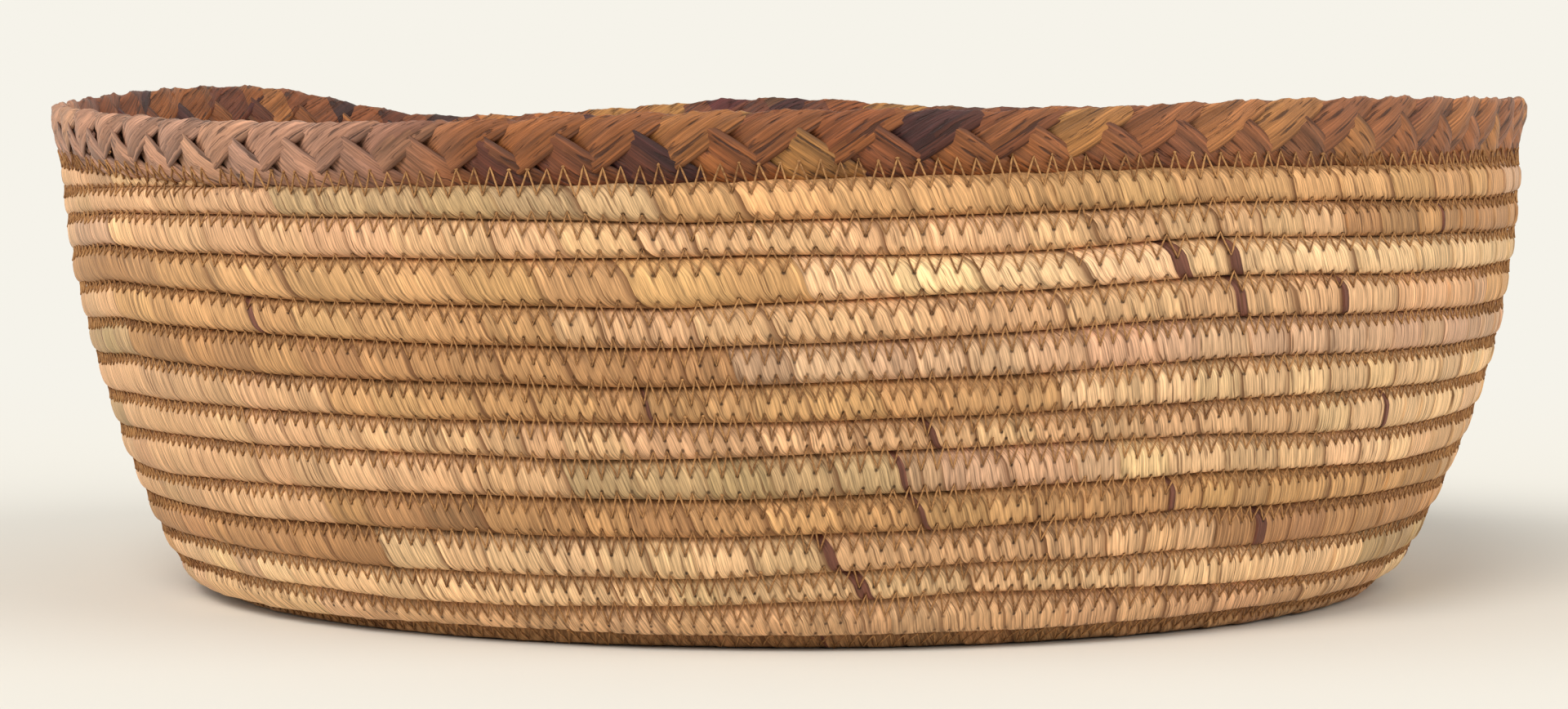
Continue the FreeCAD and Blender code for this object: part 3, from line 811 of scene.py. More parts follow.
# %% Where the needle goes in
tree = sewing
up, out = (add(tree, "GeometryNodeInputNamedAttribute", {"Name": name},
               data_type="FLOAT_VECTOR") for name in ("up", "out"))
is_up = add(tree, MATH, (add(tree, "GeometryNodeInputIndex"), 2.0), operation="MODULO")
down = add(tree, MATH, (given["Reach Down"], -1.0), operation="MULTIPLY")
reach = add(tree, RANGE, {"Value": is_up, "To Min": down, "To Max": given["Reach Up"]})
uneven = add(tree, "FunctionNodeRandomValue", {2: -1.0, 3: 1.0, "Seed": 3}).outputs[1]
slip = add(tree, "FunctionNodeRandomValue", {2: -0.8, 3: 0.8, "Seed": 8}).outputs[1]
pull = add(tree, MATH, (uneven, given["Unevenness"], reach), operation="MULTIPLY_ADD")
slip = add(tree, MATH, (slip, given["Unevenness"]), operation="MULTIPLY")
along = add(tree, VECTOR, (out, up), operation="CROSS_PRODUCT")
moved = add(tree, VECTOR, (add(tree, VECTOR, {0: up, "Scale": pull}, operation="SCALE"),
                           add(tree, VECTOR, {0: along, "Scale": slip}, operation="SCALE")),
            operation="ADD")
needle = add(tree, "GeometryNodeSetPosition", {"Geometry": given["Seam"], "Offset": moved})
print("needle holes placed with", len(tree.nodes), "nodes")

# %% [markdown]
# The leaf under the stitches is uneven, so each hole is let fall onto it by a ray from outside.
# The line is then cut into short lengths and laid on the leaf once more, but only raised, so
# that the thread rides over the lobes and still bridges the groove.

# %% The thread lies on the leaf
RAY = 8 * MM
NEVER = -1.0                                # a metre down is as good as no limit
leaf = add(tree, "GeometryNodeObjectInfo", {"Object": given["Leaf"]},
           transform_space="ORIGINAL").outputs["Geometry"]


def laid_on_leaf(geometry, clearance, lowest):
    """Moves points along out to this share of a radius above the leaf, or by lowest at least."""
    start = add(tree, VECTOR, {0: out, 1: (RAY, RAY, RAY),
                               2: add(tree, "GeometryNodeInputPosition")},
                operation="MULTIPLY_ADD")
    back = add(tree, VECTOR, {0: out, "Scale": -1.0}, operation="SCALE")
    ray = add(tree, "GeometryNodeRaycast", {"Target Geometry": leaf, "Source Position": start,
                                            "Ray Direction": back, "Ray Length": 1.6 * RAY})
    clear = add(tree, MATH, (given["Thread Radius"], clearance, RAY), operation="MULTIPLY_ADD")
    rise = add(tree, MATH, (clear, ray.outputs["Hit Distance"]), operation="SUBTRACT")
    rise = add(tree, MATH, (rise, lowest), operation="MAXIMUM")
    rise = add(tree, MATH, (rise, ray.outputs["Is Hit"]), operation="MULTIPLY")
    return add(tree, "GeometryNodeSetPosition",
               {"Geometry": geometry,
                "Offset": add(tree, VECTOR, {0: out, "Scale": rise}, operation="SCALE")})


holed = laid_on_leaf(needle, 0.35, NEVER)
line = add(tree, "GeometryNodeMeshToCurve", [holed])
line = add(tree, "GeometryNodeSubdivideCurve", {"Curve": line, "Cuts": given["Cuts per Leg"]})
line = laid_on_leaf(line, 0.8, 0.0)
print("the thread is cast onto the leaf from", RAY / MM, "mm away")

# %% [markdown]
# A small round section swept along the line makes the thread. Here and there it has fluffed at
# a needle hole, and a little lumpy knot sits there. Instances of one small ball are enough for
# those, and they are made real at the end, as only real faces leave the tree.

# %% The thread's section and its knots
section = add(tree, "GeometryNodeCurvePrimitiveCircle",
              {"Resolution": given["Sides"], "Radius": given["Thread Radius"]})
swept = add(tree, "GeometryNodeCurveToMesh", {"Curve": line, "Profile Curve": section,
                                              "Fill Caps": True})
chosen = add(tree, "FunctionNodeRandomValue", {2: 0.0, 3: 1.0, "Seed": 5}).outputs[1]
chosen = add(tree, MATH, (chosen, given["Knot Share"]), operation="LESS_THAN")
knot_radius = add(tree, MATH, (given["Thread Radius"], 2.0), operation="MULTIPLY")
knot = add(tree, "GeometryNodeMeshIcoSphere", {"Radius": knot_radius, "Subdivisions": 1})
sizes = add(tree, "FunctionNodeRandomValue", {0: (0.5, 0.5, 0.4), 1: (1.4, 1.2, 1.0), "Seed": 6},
            data_type="FLOAT_VECTOR")
knots = add(tree, "GeometryNodeInstanceOnPoints",
            {"Points": add(tree, "GeometryNodeMeshToPoints", {"Mesh": holed}),
             "Selection": add(tree, MATH, (chosen, is_up), operation="MULTIPLY"),
             "Instance": knot, "Scale": sizes})
both = add(tree, "GeometryNodeJoinGeometry")
for part in (knots, swept):
    tree.links.new(part.outputs[0], both.inputs[0])
real = add(tree, "GeometryNodeRealizeInstances", [both])
dressed = add(tree, "GeometryNodeSetMaterial", {"Geometry": real, "Material": given["Thread"]})
add(tree, "NodeGroupOutput", [dressed])
print("sewing tree:", len(sewing.nodes), "nodes")

# %% [markdown]
# Cotton sewing thread is matt and twisted. The twist is finer than a fifth of a millimetre, so
# it is drawn as coarse as it needs to show, as fine specks of light and dark, and the whole
# drifts between browner and paler lengths.

# %% Cotton thread
SPECKS, DRIFT = 1800.0, 60.0                # to a metre
cotton, tree, shader = new_material("cotton_thread")
where = add(tree, "ShaderNodeTexCoord").outputs["Object"]
speck = add(tree, NOISE, {"Vector": where, "Scale": SPECKS, "Detail": 2.0})
drift = add(tree, NOISE, {"Vector": where, "Scale": DRIFT})
shade = add(tree, RANGE, {"Value": add(tree, MATH, (speck, drift), operation="ADD"),
                          "From Min": 0.72, "From Max": 1.28})
colour = add(tree, "ShaderNodeMix", {0: shade, 6: rgba("#744c2b"), 7: rgba("#c2905b")},
             data_type="RGBA").outputs[2]
bump = add(tree, "ShaderNodeBump", {"Height": speck, "Distance": 0.08 * MM})
tree.links.new(colour, shader.inputs["Base Color"])
tree.links.new(bump.outputs[0], shader.inputs["Normal"])
shader.inputs["Roughness"].default_value = 0.8
shader.inputs["Specular IOR Level"].default_value = 0.3
print(cotton.name, "specks", round(1000 / SPECKS, 1), "mm apart")

# %% [markdown]
# The needle goes in once above the seam and once below it, so a stitch is two points of the seam
# line. Each point gets its two directions from the settled basket, by setting places half a
# millimetre either way side by side, so the stitches lean with the wall.

# %% A seam line with a point at each needle hole
def directions(length, turn):
    """Unit directions up the wall and out of it, as the settled basket has them."""
    up = settle(place(length + 0.5, 0.0, turn)) - settle(place(length - 0.5, 0.0, turn))
    out = settle(place(length, 0.5, turn)) - settle(place(length, -0.5, turn))
    return (up / np.linalg.norm(up, axis=1)[:, None], out / np.linalg.norm(out, axis=1)[:, None])


def holes_between(first, last):
    """Turns at which the needle goes in between two turns, two for each stitch."""
    low, high = np.interp([first, last], TURNS, STITCHES)
    counts = np.arange(math.ceil(low * 2), math.floor(high * 2) + 1)
    if counts[0] % 2:
        counts = counts[1:]
    return np.interp(counts / 2, STITCHES, TURNS)


def line_of(name, points, vectors, closed=False):
    """A chain of points in mm as a mesh in metres, with what the trees read from its points."""
    links = [(i, i + 1) for i in range(len(points) - 1)]
    if closed:
        links.append((len(points) - 1, 0))
    mesh = bpy.data.meshes.new(name)
    mesh.from_pydata((points * MM).tolist(), links, [])
    for label, values in vectors.items():
        kind, field = (("FLOAT_VECTOR", "vector") if values.ndim == 2 else ("FLOAT", "value"))
        layer = mesh.attributes.new(label, kind, "POINT")
        layer.data.foreach_set(field, values.astype(np.float32).ravel())
    return put_in_scene(name, mesh)


print("needle holes round the top seam:", len(holes_between(RIM_SEAM_FROM - 1, RIM_SEAM_FROM)))

# %% [markdown]
# A tree is a modifier on the line, and its inputs are set by their identifiers before the line
# is first evaluated. The result is made a plain mesh at once, and the line and its modifier are
# thrown away, because only plain meshes leave this file. The thread is cast onto bare copies,
# several pieces joined as one, because a stitch near one piece's end reaches over to the next.

# %% Growing pieces from lines, and what they are cast onto
def grow(line, tree, name, values):
    """Runs a tree with these inputs on a line, and keeps its result as a plain mesh."""
    modifier = line.modifiers.new(tree.name, "NODES")
    modifier.node_group = tree
    for label, value in values.items():
        modifier[socket_of(tree, label)] = value
    bpy.context.view_layer.update()
    ready = line.evaluated_get(bpy.context.evaluated_depsgraph_get())
    mesh = bpy.data.meshes.new_from_object(ready)
    mesh.name = name
    mesh.shade_smooth()
    piece = put_in_scene(name, mesh)
    line.modifiers.clear()
    bpy.data.objects.remove(line)
    return piece


def joined(name, pieces):
    """One bare mesh of several pieces, for the thread to be cast onto."""
    points, triangles, base = [], [], 0
    for mesh in (piece.data for piece in pieces):
        places = np.zeros(len(mesh.vertices) * 3, np.float32)
        mesh.vertices.foreach_get("co", places)
        corners = np.zeros(len(mesh.loop_triangles) * 3, np.int32)
        mesh.loop_triangles.foreach_get("vertices", corners)
        points.append(places.reshape(-1, 3))
        triangles.append(corners.reshape(-1, 3) + base)
        base += len(mesh.vertices)
    return put_in_scene(name, mesh_of(name, np.concatenate(points), np.concatenate(triangles)))


walls = [cord_pieces["wall_coil_%02d" % number][0] for number in WALL_NUMBERS]
floors = [cord_pieces["floor_coil_%d" % number][0] for number in (1, 2, 3)]
ends = [cord_pieces["coil_end"][0]]
whole_cord = joined("whole_cord", floors + walls + ends)
print("the whole cord has", len(whole_cord.data.polygons), "triangles")

# %% [markdown]
# Outside, each seam of the wall is a piece of its own, with the small knots. Inside and on the
# floor the thread is seen from further off, so it runs in one piece, a little thicker, with
# fewer cuts and sides. Under the floor the basket's weight presses it flat on the table.

# %% Sew the floor and the wall
SEAM_STITCH = {"Reach Up": REACH_UP * MM, "Reach Down": REACH_DOWN * MM,
               "Thread Radius": 0.17 * MM, "Cuts per Leg": 3, "Sides": 5, "Knot Share": 0.2}
PLAIN_STITCH = {**SEAM_STITCH, "Thread Radius": 0.18 * MM, "Cuts per Leg": 2, "Sides": 4,
                "Knot Share": 0.0}
THREAD_LOWEST = 0.02 * MM                   # above the table


def sew(name, first, last, side, onto, sizes):
    """A zigzag along the seam between two turns, outside (side 1) or inside (side -1)."""
    turns = holes_between(first, last)
    length = seam_length(turns)
    up, out = directions(length, turns)
    to_above, to_below = reach_shares(turns)
    share = np.where(np.arange(len(turns)) % 2, to_above, to_below)
    seam = line_of(name + "_line", settle(place(length, 0.0, turns)),
                   {"up": up * share[:, None], "out": out * side})
    thread = grow(seam, sewing, name, {"Leaf": onto, "Unevenness": 0.35 * MM, "Thread": cotton,
                                       **sizes})
    points = np.zeros(len(thread.data.vertices) * 3, np.float32)
    thread.data.vertices.foreach_get("co", points)
    points[2::3] = np.maximum(points[2::3], THREAD_LOWEST)
    thread.data.vertices.foreach_set("co", points)
    return thread


thread_pieces = {}
for number in WALL_NUMBERS:
    first = FLOOR_TURNS + number - 2
    last = RIM_SEAM_FROM if number == WALL_NUMBERS[-1] else first + 1
    label = "seam_stitches_%02d" % number
    thread_pieces[label] = (sew(label, first, last, 1, whole_cord, SEAM_STITCH),
                            ["seam_thread_%02d" % number])
for label, node, first, last, side in (
        ("inside_stitches", "inner_thread", FLOOR_TURNS - 1, RIM_SEAM_FROM, -1),
        ("floor_stitches_under", "base_thread_under", 0.3, FLOOR_TURNS - 1, 1),
        ("floor_stitches_top", "base_thread_top", 0.3, FLOOR_TURNS - 1, -1)):
    thread_pieces[label] = (sew(label, first, last, side, whole_cord, PLAIN_STITCH), [node])
for label, (piece, nodes) in thread_pieces.items():
    print(label, len(piece.data.polygons), "faces")

# %% [markdown]
# ## The plaited rim
#
# Three bundles of broad dark leaf are plaited flat and sewn on edge to the top of the cord. A
# strand is a flat strip that zigzags between the two edges of the plait: it folds over at each
# edge, comes to the front in one half and dives behind in the next. Drawing sixty-six leaf ends
# by hand would never close, but the rule does: lay the strip out straight, fold it over at each
# edge of the plait, and let it sink and rise as it goes along. So this is a Geometry Nodes tree
# as well, and its input is a line round the rim that counts the plait's swing.

# %% The plaiting tree and its inputs
PLAIT_REPEATS = 22
plaiting, given = new_tree("three_strand_plait", [
    ("Rim Line", "Geometry"), ("Repeats", "Float"), ("Pace", "Float"), ("Phase", "Float"),
    ("Half Height", "Float"), ("Depth", "Float"), ("Crown", "Float"), ("Lean", "Float"),
    ("Flatness", "Float"), ("Leaf Width", "Float"), ("Leaf Thickness", "Float"),
    ("Leaf Edge", "Float"), ("Leaf", "Material")])
print("each strand folds over", 2 * PLAIT_REPEATS, "times")

# %% [markdown]
# A thin lens swept once round the rim gives the faces. Each of its points remembers where it is
# on the lens, from one face of the leaf to the other and from edge to edge, and the swing at
# its place on the line. From these the tree finds where the point lies on the strip before it
# is folded: how far along the rim and how far across the plait.

# %% Where the strip lies before it is folded
LENS_POINTS = 32
tree = plaiting
marked = add(tree, "GeometryNodeCaptureAttribute", {"Geometry": given["Rim Line"]})
marked.capture_items.new("FLOAT", "swing_here")
counted = add(tree, "GeometryNodeInputNamedAttribute", {"Name": "swing"}, data_type="FLOAT")
tree.links.new(counted.outputs[0], marked.inputs[1])
swing = marked.outputs[1]
rim = add(tree, "GeometryNodeMeshToCurve", [marked])
ring = add(tree, "GeometryNodeCurvePrimitiveCircle", {"Resolution": LENS_POINTS, "Radius": 1.0})
lens = add(tree, "GeometryNodeCaptureAttribute", {"Geometry": ring})
lens.capture_items.new("VECTOR", "round")
tree.links.new(add(tree, "GeometryNodeInputPosition").outputs[0], lens.inputs[1])
strip = add(tree, "GeometryNodeCurveToMesh", {"Curve": rim, "Profile Curve": lens})
thick, side, _ = add(tree, "ShaderNodeSeparateXYZ", [lens.outputs[1]]).outputs
# the strip climbs from edge to edge, twice its half height, in half a pace
climb = add(tree, MATH, (add(tree, MATH, (given["Half Height"], 4.0), operation="MULTIPLY"),
                         given["Pace"]), operation="DIVIDE")
slant = add(tree, MATH, [climb], operation="ARCTANGENT")
across = add(tree, MATH, (side, add(tree, MATH, (given["Leaf Width"], 0.5),
                                    operation="MULTIPLY")), operation="MULTIPLY")
travel = add(tree, MATH, (swing, given["Phase"]), operation="ADD")
forward = add(tree, MATH, (across, add(tree, MATH, [slant], operation="SINE")),
              operation="MULTIPLY")
upward = add(tree, MATH, (across, add(tree, MATH, [slant], operation="COSINE")),
             operation="MULTIPLY")
paces = add(tree, MATH, (forward, given["Pace"]), operation="DIVIDE")
paces = add(tree, MATH, (swing, 1 / (2 * math.pi), paces), operation="MULTIPLY_ADD")
round_rim = add(tree, MATH, [add(tree, MATH, (paces, given["Repeats"]), operation="DIVIDE")],
                operation="FRACT")
folding = add(tree, MATH, (add(tree, MATH, (upward, -math.pi / 2), operation="MULTIPLY"),
                           given["Half Height"]), operation="DIVIDE")
folding = add(tree, MATH, (folding, travel), operation="ADD")
print("the strip is laid out with", len(tree.nodes), "nodes")

# %% [markdown]
# The fold is a wave between a triangle and a sine, so the leaf lies flat across the plait and
# turns over in a short round bend at its edges. The depth rises and falls twice in each repeat,
# which takes the strand over one neighbour and under the other, and the strip leans so that its
# forward edge laps over the strip that follows it.

# %% Fold the strip
wave = add(tree, MATH, [folding], operation="SINE")
flat_wave = add(tree, MATH, (wave, given["Flatness"]), operation="MULTIPLY")
level = add(tree, MATH, (add(tree, MATH, [flat_wave], operation="ARCSINE"),
                         add(tree, MATH, [given["Flatness"]], operation="ARCSINE")),
            operation="DIVIDE")
# a strip's edges fold a little lower than its middle
side_squared = add(tree, MATH, (side, side), operation="MULTIPLY")
full = add(tree, MATH, (side_squared, -0.09, 1.03), operation="MULTIPLY_ADD")
level = add(tree, MATH, (add(tree, MATH, (level, given["Half Height"]), operation="MULTIPLY"),
                         full), operation="MULTIPLY")
twice = add(tree, MATH, [add(tree, MATH, (travel, 2.0), operation="MULTIPLY")],
            operation="SINE")
crown = add(tree, MATH, (given["Crown"], -1.0), operation="MULTIPLY")
crowned = add(tree, MATH, (side_squared, crown, given["Depth"]), operation="MULTIPLY_ADD")
leaning = add(tree, MATH, (side, given["Lean"]), operation="MULTIPLY")
depth = add(tree, MATH, (twice, crowned, leaning), operation="MULTIPLY_ADD")
bend = add(tree, MATH, (add(tree, MATH, (flat_wave, flat_wave), operation="MULTIPLY"), -1.0,
                        1.0), operation="MULTIPLY_ADD")
turned = add(tree, MATH, (add(tree, MATH, [folding], operation="COSINE"),
                          add(tree, MATH, [bend], operation="SQRT")), operation="DIVIDE")
print("flatness 0 folds as a sine, 1 as a triangle")

# %% [markdown]
# The strip has moved along the rim, so it can't use the directions of its own place any more.
# Sample Curve reads the line's position and its two directions at the place where the strip is
# now. The leaf's face points out of the plait on one side and in on the other, and hardly up.

# %% Directions where the strip is now
def vector_socket(sockets):
    return next(socket for socket in sockets
                if socket.name == "Value" and socket.type == "VECTOR")


sampled = {}
for name in ("up", "out"):
    stored = add(tree, "GeometryNodeInputNamedAttribute", {"Name": name},
                 data_type="FLOAT_VECTOR")
    sampled[name] = add(tree, "GeometryNodeSampleCurve", {"Curves": rim, "Factor": round_rim},
                        data_type="FLOAT_VECTOR", mode="FACTOR")
    tree.links.new(stored.outputs[0], vector_socket(sampled[name].inputs))
up, out = (vector_socket(sampled[name].outputs) for name in ("up", "out"))
facing = add(tree, VECTOR, (add(tree, VECTOR, {0: out, "Scale": turned}, operation="SCALE"),
                            add(tree, VECTOR, {0: up, "Scale": 0.3}, operation="SCALE")),
             operation="ADD")
facing = add(tree, VECTOR, [facing], operation="NORMALIZE")
print("directions:", list(sampled))

# %% [markdown]
# Two or three lapped leaves make up a strand. A saw wave across the strip gives them their
# edges, and its start drifts along the strand, so a leaf slowly comes out from under its
# neighbour. A soft noise ruffles each of them.

# %% Thicken the strip into lapped leaves
drift = add(tree, NOISE, {"Vector": add(tree, "ShaderNodeCombineXYZ", (travel, given["Phase"])),
                          "Scale": 0.45, "Detail": 1.0})
band = add(tree, MATH, (side, 1.25, add(tree, MATH, (drift, 2.6), operation="MULTIPLY")),
           operation="MULTIPLY_ADD")
lap = add(tree, MATH, (add(tree, MATH, [band], operation="FRACT"), given["Leaf Edge"]),
          operation="MULTIPLY")
lap = add(tree, MATH, (lap, thick), operation="MULTIPLY")
wide = add(tree, MATH, (side, 2.2), operation="MULTIPLY")
ruffle = add(tree, NOISE, {"Vector": add(tree, "ShaderNodeCombineXYZ",
                                         (travel, wide, given["Phase"])),
                           "Scale": 1.3, "Detail": 2.0})
ruffle = add(tree, MATH, (ruffle, 1.0 * MM, -0.5 * MM), operation="MULTIPLY_ADD")
half_leaf = add(tree, MATH, (given["Leaf Thickness"], 0.5), operation="MULTIPLY")
lift = add(tree, MATH, (thick, half_leaf, add(tree, MATH, (lap, ruffle), operation="ADD")),
           operation="MULTIPLY_ADD")
on_plait = sampled["up"].outputs["Position"]
for direction, distance in ((up, level), (out, depth), (facing, lift)):
    step = add(tree, VECTOR, {0: direction, "Scale": distance}, operation="SCALE")
    on_plait = add(tree, VECTOR, (on_plait, step), operation="ADD")
folded = add(tree, "GeometryNodeSetPosition", {"Geometry": strip, "Position": on_plait})
print("the strip is folded with", len(tree.nodes), "nodes")

# %% [markdown]
# The leaf's map again has millimetres across and along it. A second attribute names the leaf that
# each face belongs to; it changes where the strand is hidden behind its neighbours.

# %% Maps of the plait's leaves
along = add(tree, MATH, (given["Pace"], add(tree, MATH, [slant], operation="COSINE")),
            operation="DIVIDE")
along = add(tree, MATH, (add(tree, MATH, (travel, along), operation="MULTIPLY"),
                         1000 / (2 * math.pi)), operation="MULTIPLY")
across_mm = add(tree, MATH, (across, 1000.0), operation="MULTIPLY")
mapped = add(tree, "GeometryNodeStoreNamedAttribute",
             {"Geometry": folded, "Name": "leaf",
              "Value": add(tree, "ShaderNodeCombineXYZ", (across_mm, along))},
             data_type="FLOAT2", domain="CORNER")
section_number = add(tree, MATH, [add(tree, MATH, (travel, 1 / math.pi, 1 / 3),
                                      operation="MULTIPLY_ADD")], operation="FLOOR")
band_number = add(tree, MATH, [band], operation="FLOOR")
which = add(tree, "ShaderNodeCombineXYZ", (section_number, band_number, given["Phase"]))
mapped = add(tree, "GeometryNodeStoreNamedAttribute",
             {"Geometry": mapped, "Name": "which_leaf", "Value": which},
             data_type="FLOAT_VECTOR", domain="FACE")
real = add(tree, "GeometryNodeRealizeInstances", [mapped])
dressed = add(tree, "GeometryNodeSetMaterial", {"Geometry": real, "Material": given["Leaf"]})
add(tree, "NodeGroupOutput", [dressed])
print("plaiting tree:", len(plaiting.nodes), "nodes")

# %% [markdown]
# The rim's leaf is a broad water plant leaf, dried to browns between pink and burgundy. It is
# smoother than the palm and a little glossy, with fibres a third of a millimetre apart and long
# cracks along it. The same stretched noises serve again, at other sizes.

# %% The dark leaf's fibres, bands and cracks
DARK_FIBRES_PER_MM = 3.0
dark_leaf, tree, shader = new_material("dried_dark_leaf")
leaf_map = add(tree, "ShaderNodeUVMap", uv_map="leaf")
fine = add(tree, "ShaderNodeMapping", {"Vector": leaf_map,
                                       "Scale": (DARK_FIBRES_PER_MM, 0.09, 1)})
fibres = add(tree, NOISE, {"Vector": fine, "Scale": 1.0, "Detail": 3.0, "Roughness": 0.65})
broad = add(tree, "ShaderNodeMapping", {"Vector": leaf_map, "Scale": (0.55, 0.05, 1)})
bands = add(tree, NOISE, {"Vector": broad, "Scale": 1.0, "Detail": 3.0})
cuts = add(tree, "ShaderNodeMapping", {"Vector": leaf_map, "Scale": (1.3, 0.13, 1),
                                       "Location": (4.1, 9.7, 0)})
lowest = add(tree, NOISE, {"Vector": cuts, "Scale": 1.0, "Detail": 3.5, "Distortion": 0.3})
crack = add(tree, RANGE, {"Value": lowest, "From Min": 0.36, "From Max": 0.42,
                          "To Min": 1.0, "To Max": 0.0})
print(dark_leaf.name, "starts with", len(tree.nodes), "nodes")

# %% [markdown]
# Each leaf in a strand has its own shade. A white noise turns the leaf's number into a value as
# good as chance, and a stepped ramp picks one of twelve browns by it. Leaves lapped side by side
# come from the same bundle, so most of a leaf's shade is picked for its length of strand as a
# whole, and only the rest for the leaf itself.

# %% The shade of each leaf
PLAIT_TONES = ["#894d27", "#733f23", "#975b30", "#623421", "#7f4828", "#452320", "#a26838",
               "#6c3a24", "#3a1f1c", "#90552a", "#ab7840", "#572623"]
BUNDLE_SHARE = 0.78
which = add(tree, "ShaderNodeAttribute", attribute_name="which_leaf").outputs["Vector"]
strand_only = add(tree, VECTOR, (which, (1.0, 0.0, 1.0)), operation="MULTIPLY")
stops = [(number / len(PLAIT_TONES), rgba(name)) for number, name in enumerate(PLAIT_TONES)]
picked = []
for leaf_number in (which, strand_only):
    chance = add(tree, "ShaderNodeTexWhiteNoise", [leaf_number], noise_dimensions="3D")
    shades = add(tree, "ShaderNodeValToRGB", [chance])
    ramp = shades.color_ramp
    ramp.interpolation = "CONSTANT"
    for number, (at, colour) in enumerate(stops):
        stop = ramp.elements[number] if number < 2 else ramp.elements.new(at)
        stop.position, stop.color = at, colour
    picked.append(shades)
tone = add(tree, "ShaderNodeMix", {0: BUNDLE_SHARE, 6: picked[0], 7: picked[1]},
           data_type="RGBA").outputs[2]
print(len(PLAIT_TONES), "browns for", 3 * 2 * PLAIT_REPEATS, "lengths of strand")

# %% [markdown]
# The plait's front turns a paler, rosier brown at its left, and its leaves are more alike and
# paler at its right. Object coordinates tell the material where on the basket it is, so two soft
# ramps to the left and to the right are enough to say so.

# %% A paler, rosier left and a paler right
PALER_LEFT, ALIKE_RIGHT = "#c4957b", "#925e3a"
spot = add(tree, "ShaderNodeSeparateXYZ", [add(tree, "ShaderNodeTexCoord").outputs["Object"]])
in_front = add(tree, RANGE, {"Value": spot.outputs[1], "From Min": 0.02, "From Max": -0.015})
# the left front turns a paler, rosier brown
to_left = add(tree, RANGE, {"Value": spot.outputs[0], "From Min": -0.055, "From Max": -0.09,
                            "To Max": 0.7})
tone = add(tree, "ShaderNodeMix", {0: add(tree, MATH, (to_left, in_front),
                                          operation="MULTIPLY"), 6: tone, 7: rgba(PALER_LEFT)},
           data_type="RGBA").outputs[2]
# on the right the leaves are more alike, and paler
to_right = add(tree, RANGE, {"Value": spot.outputs[0], "From Min": 0.035, "From Max": 0.075})
tone = add(tree, "ShaderNodeMix", {0: add(tree, MATH, (to_right, 0.55), operation="MULTIPLY"),
                                   6: tone, 7: rgba(ALIKE_RIGHT)},
           data_type="RGBA").outputs[2]
brighter = add(tree, MATH, (to_right, 0.22, 0.96), operation="MULTIPLY_ADD")
print("the left front fades to", PALER_LEFT, "and the right one towards", ALIKE_RIGHT)

# %% [markdown]
# The parts are laid together as on the palm leaf. A strand has a painted shade, with some dirt,
# along its two edges, where it turns under its neighbours, and the cracks are dark too. The leaf
# is waxy where the palm is dusty, so it is a little less rough, which gives the plait's bends a
# faint sheen.

# %% Dark leaf colour and relief
# painted shade, with some dirt, along a strand's two edges
EDGE_MM = (3.8, 4.55)                       # from a strand's middle, where its edge darkens
streaks = add(tree, RANGE, {"Value": fibres, "From Min": 0.3, "From Max": 0.7,
                            "To Min": 0.48, "To Max": 1.5})
streaks = add(tree, MATH, (streaks, brighter), operation="MULTIPLY")
banded = add(tree, RANGE, {"Value": bands, "From Min": 0.3, "From Max": 0.7,
                           "To Min": 0.62, "To Max": 1.36})
streaked = add(tree, VECTOR, {0: tone, "Scale": add(tree, MATH, (streaks, banded),
                                                    operation="MULTIPLY")}, operation="SCALE")
to_side = add(tree, MATH, [add(tree, "ShaderNodeSeparateXYZ", [leaf_map])], operation="ABSOLUTE")
strand_edge_shade = add(tree, RANGE, {"Value": to_side, "From Min": EDGE_MM[0],
                                "From Max": EDGE_MM[1], "To Max": 0.9})
# the cracks' own dark, and the painted shade along the strand's edges
crack = add(tree, MATH, (crack, strand_edge_shade), operation="MAXIMUM")
cracks_and_edge_shade = add(tree, "ShaderNodeMix", {0: add(tree, MATH, (crack, 0.7), operation="MULTIPLY"),
                                      6: streaked, 7: rgba("#2a1512")},
              data_type="RGBA").outputs[2]
relief = add(tree, MATH, (fibres, 0.25), operation="MULTIPLY")
relief = add(tree, MATH, (crack, -0.2, relief), operation="MULTIPLY_ADD")
bump = add(tree, "ShaderNodeBump", {"Height": relief, "Strength": 1.0, "Distance": MM})
tree.links.new(cracks_and_edge_shade, shader.inputs["Base Color"])
tree.links.new(bump.outputs[0], shader.inputs["Normal"])
shader.inputs["Roughness"].default_value = 0.52
shader.inputs["Specular IOR Level"].default_value = 0.35
print(dark_leaf.name, "has", len(tree.nodes), "nodes")

# %% [markdown]
# The plait's middle runs a little above the top of the cord all the way round, so the line that
# goes into the tree is that circle, with the swing counted along it. The plait leans out a
# little, and the maker's pull makes it lower in one place than in another.

# %% The line round the rim
PLAIT_MIDDLE, PLAIT_OUT, PLAIT_TILT = 6.0, 1.8, 0.17
# the plait's height as a share of the usual one, by azimuth
HEIGHT_AT = [0, 200, 222, 242, 250, 257, 264, 270, 277, 284, 291, 299, 307, 318, 335, 360]
HEIGHT_SHARES = [0.98, 0.92, 0.91, 0.93, 0.94, 1.0, 1.0, 0.98, 0.94, 0.89, 0.88, 0.93, 0.98,
                 1.03, 1.01, 0.98]
STEPS = PLAIT_REPEATS * 74
rim_turns = np.arange(STEPS) / STEPS
azimuth = (math.degrees(START_AZIMUTH) + 360 * rim_turns) % 360
share = np.interp(azimuth, HEIGHT_AT, HEIGHT_SHARES)[:, None]
middle = rim_length(rim_turns) + PLAIT_MIDDLE
base = settle(place(rim_length(rim_turns), PLAIT_OUT, rim_turns))
points = base + (settle(place(middle, PLAIT_OUT, rim_turns)) - base) * share
up, out = directions(middle, rim_turns)
up = (up + PLAIT_TILT * out) * share
pace = float(np.linalg.norm(np.diff(np.concatenate([points, points[:1]]), axis=0),
                            axis=1).sum()) / PLAIT_REPEATS
print("one repeat of the plait is", round(pace, 1), "mm long")

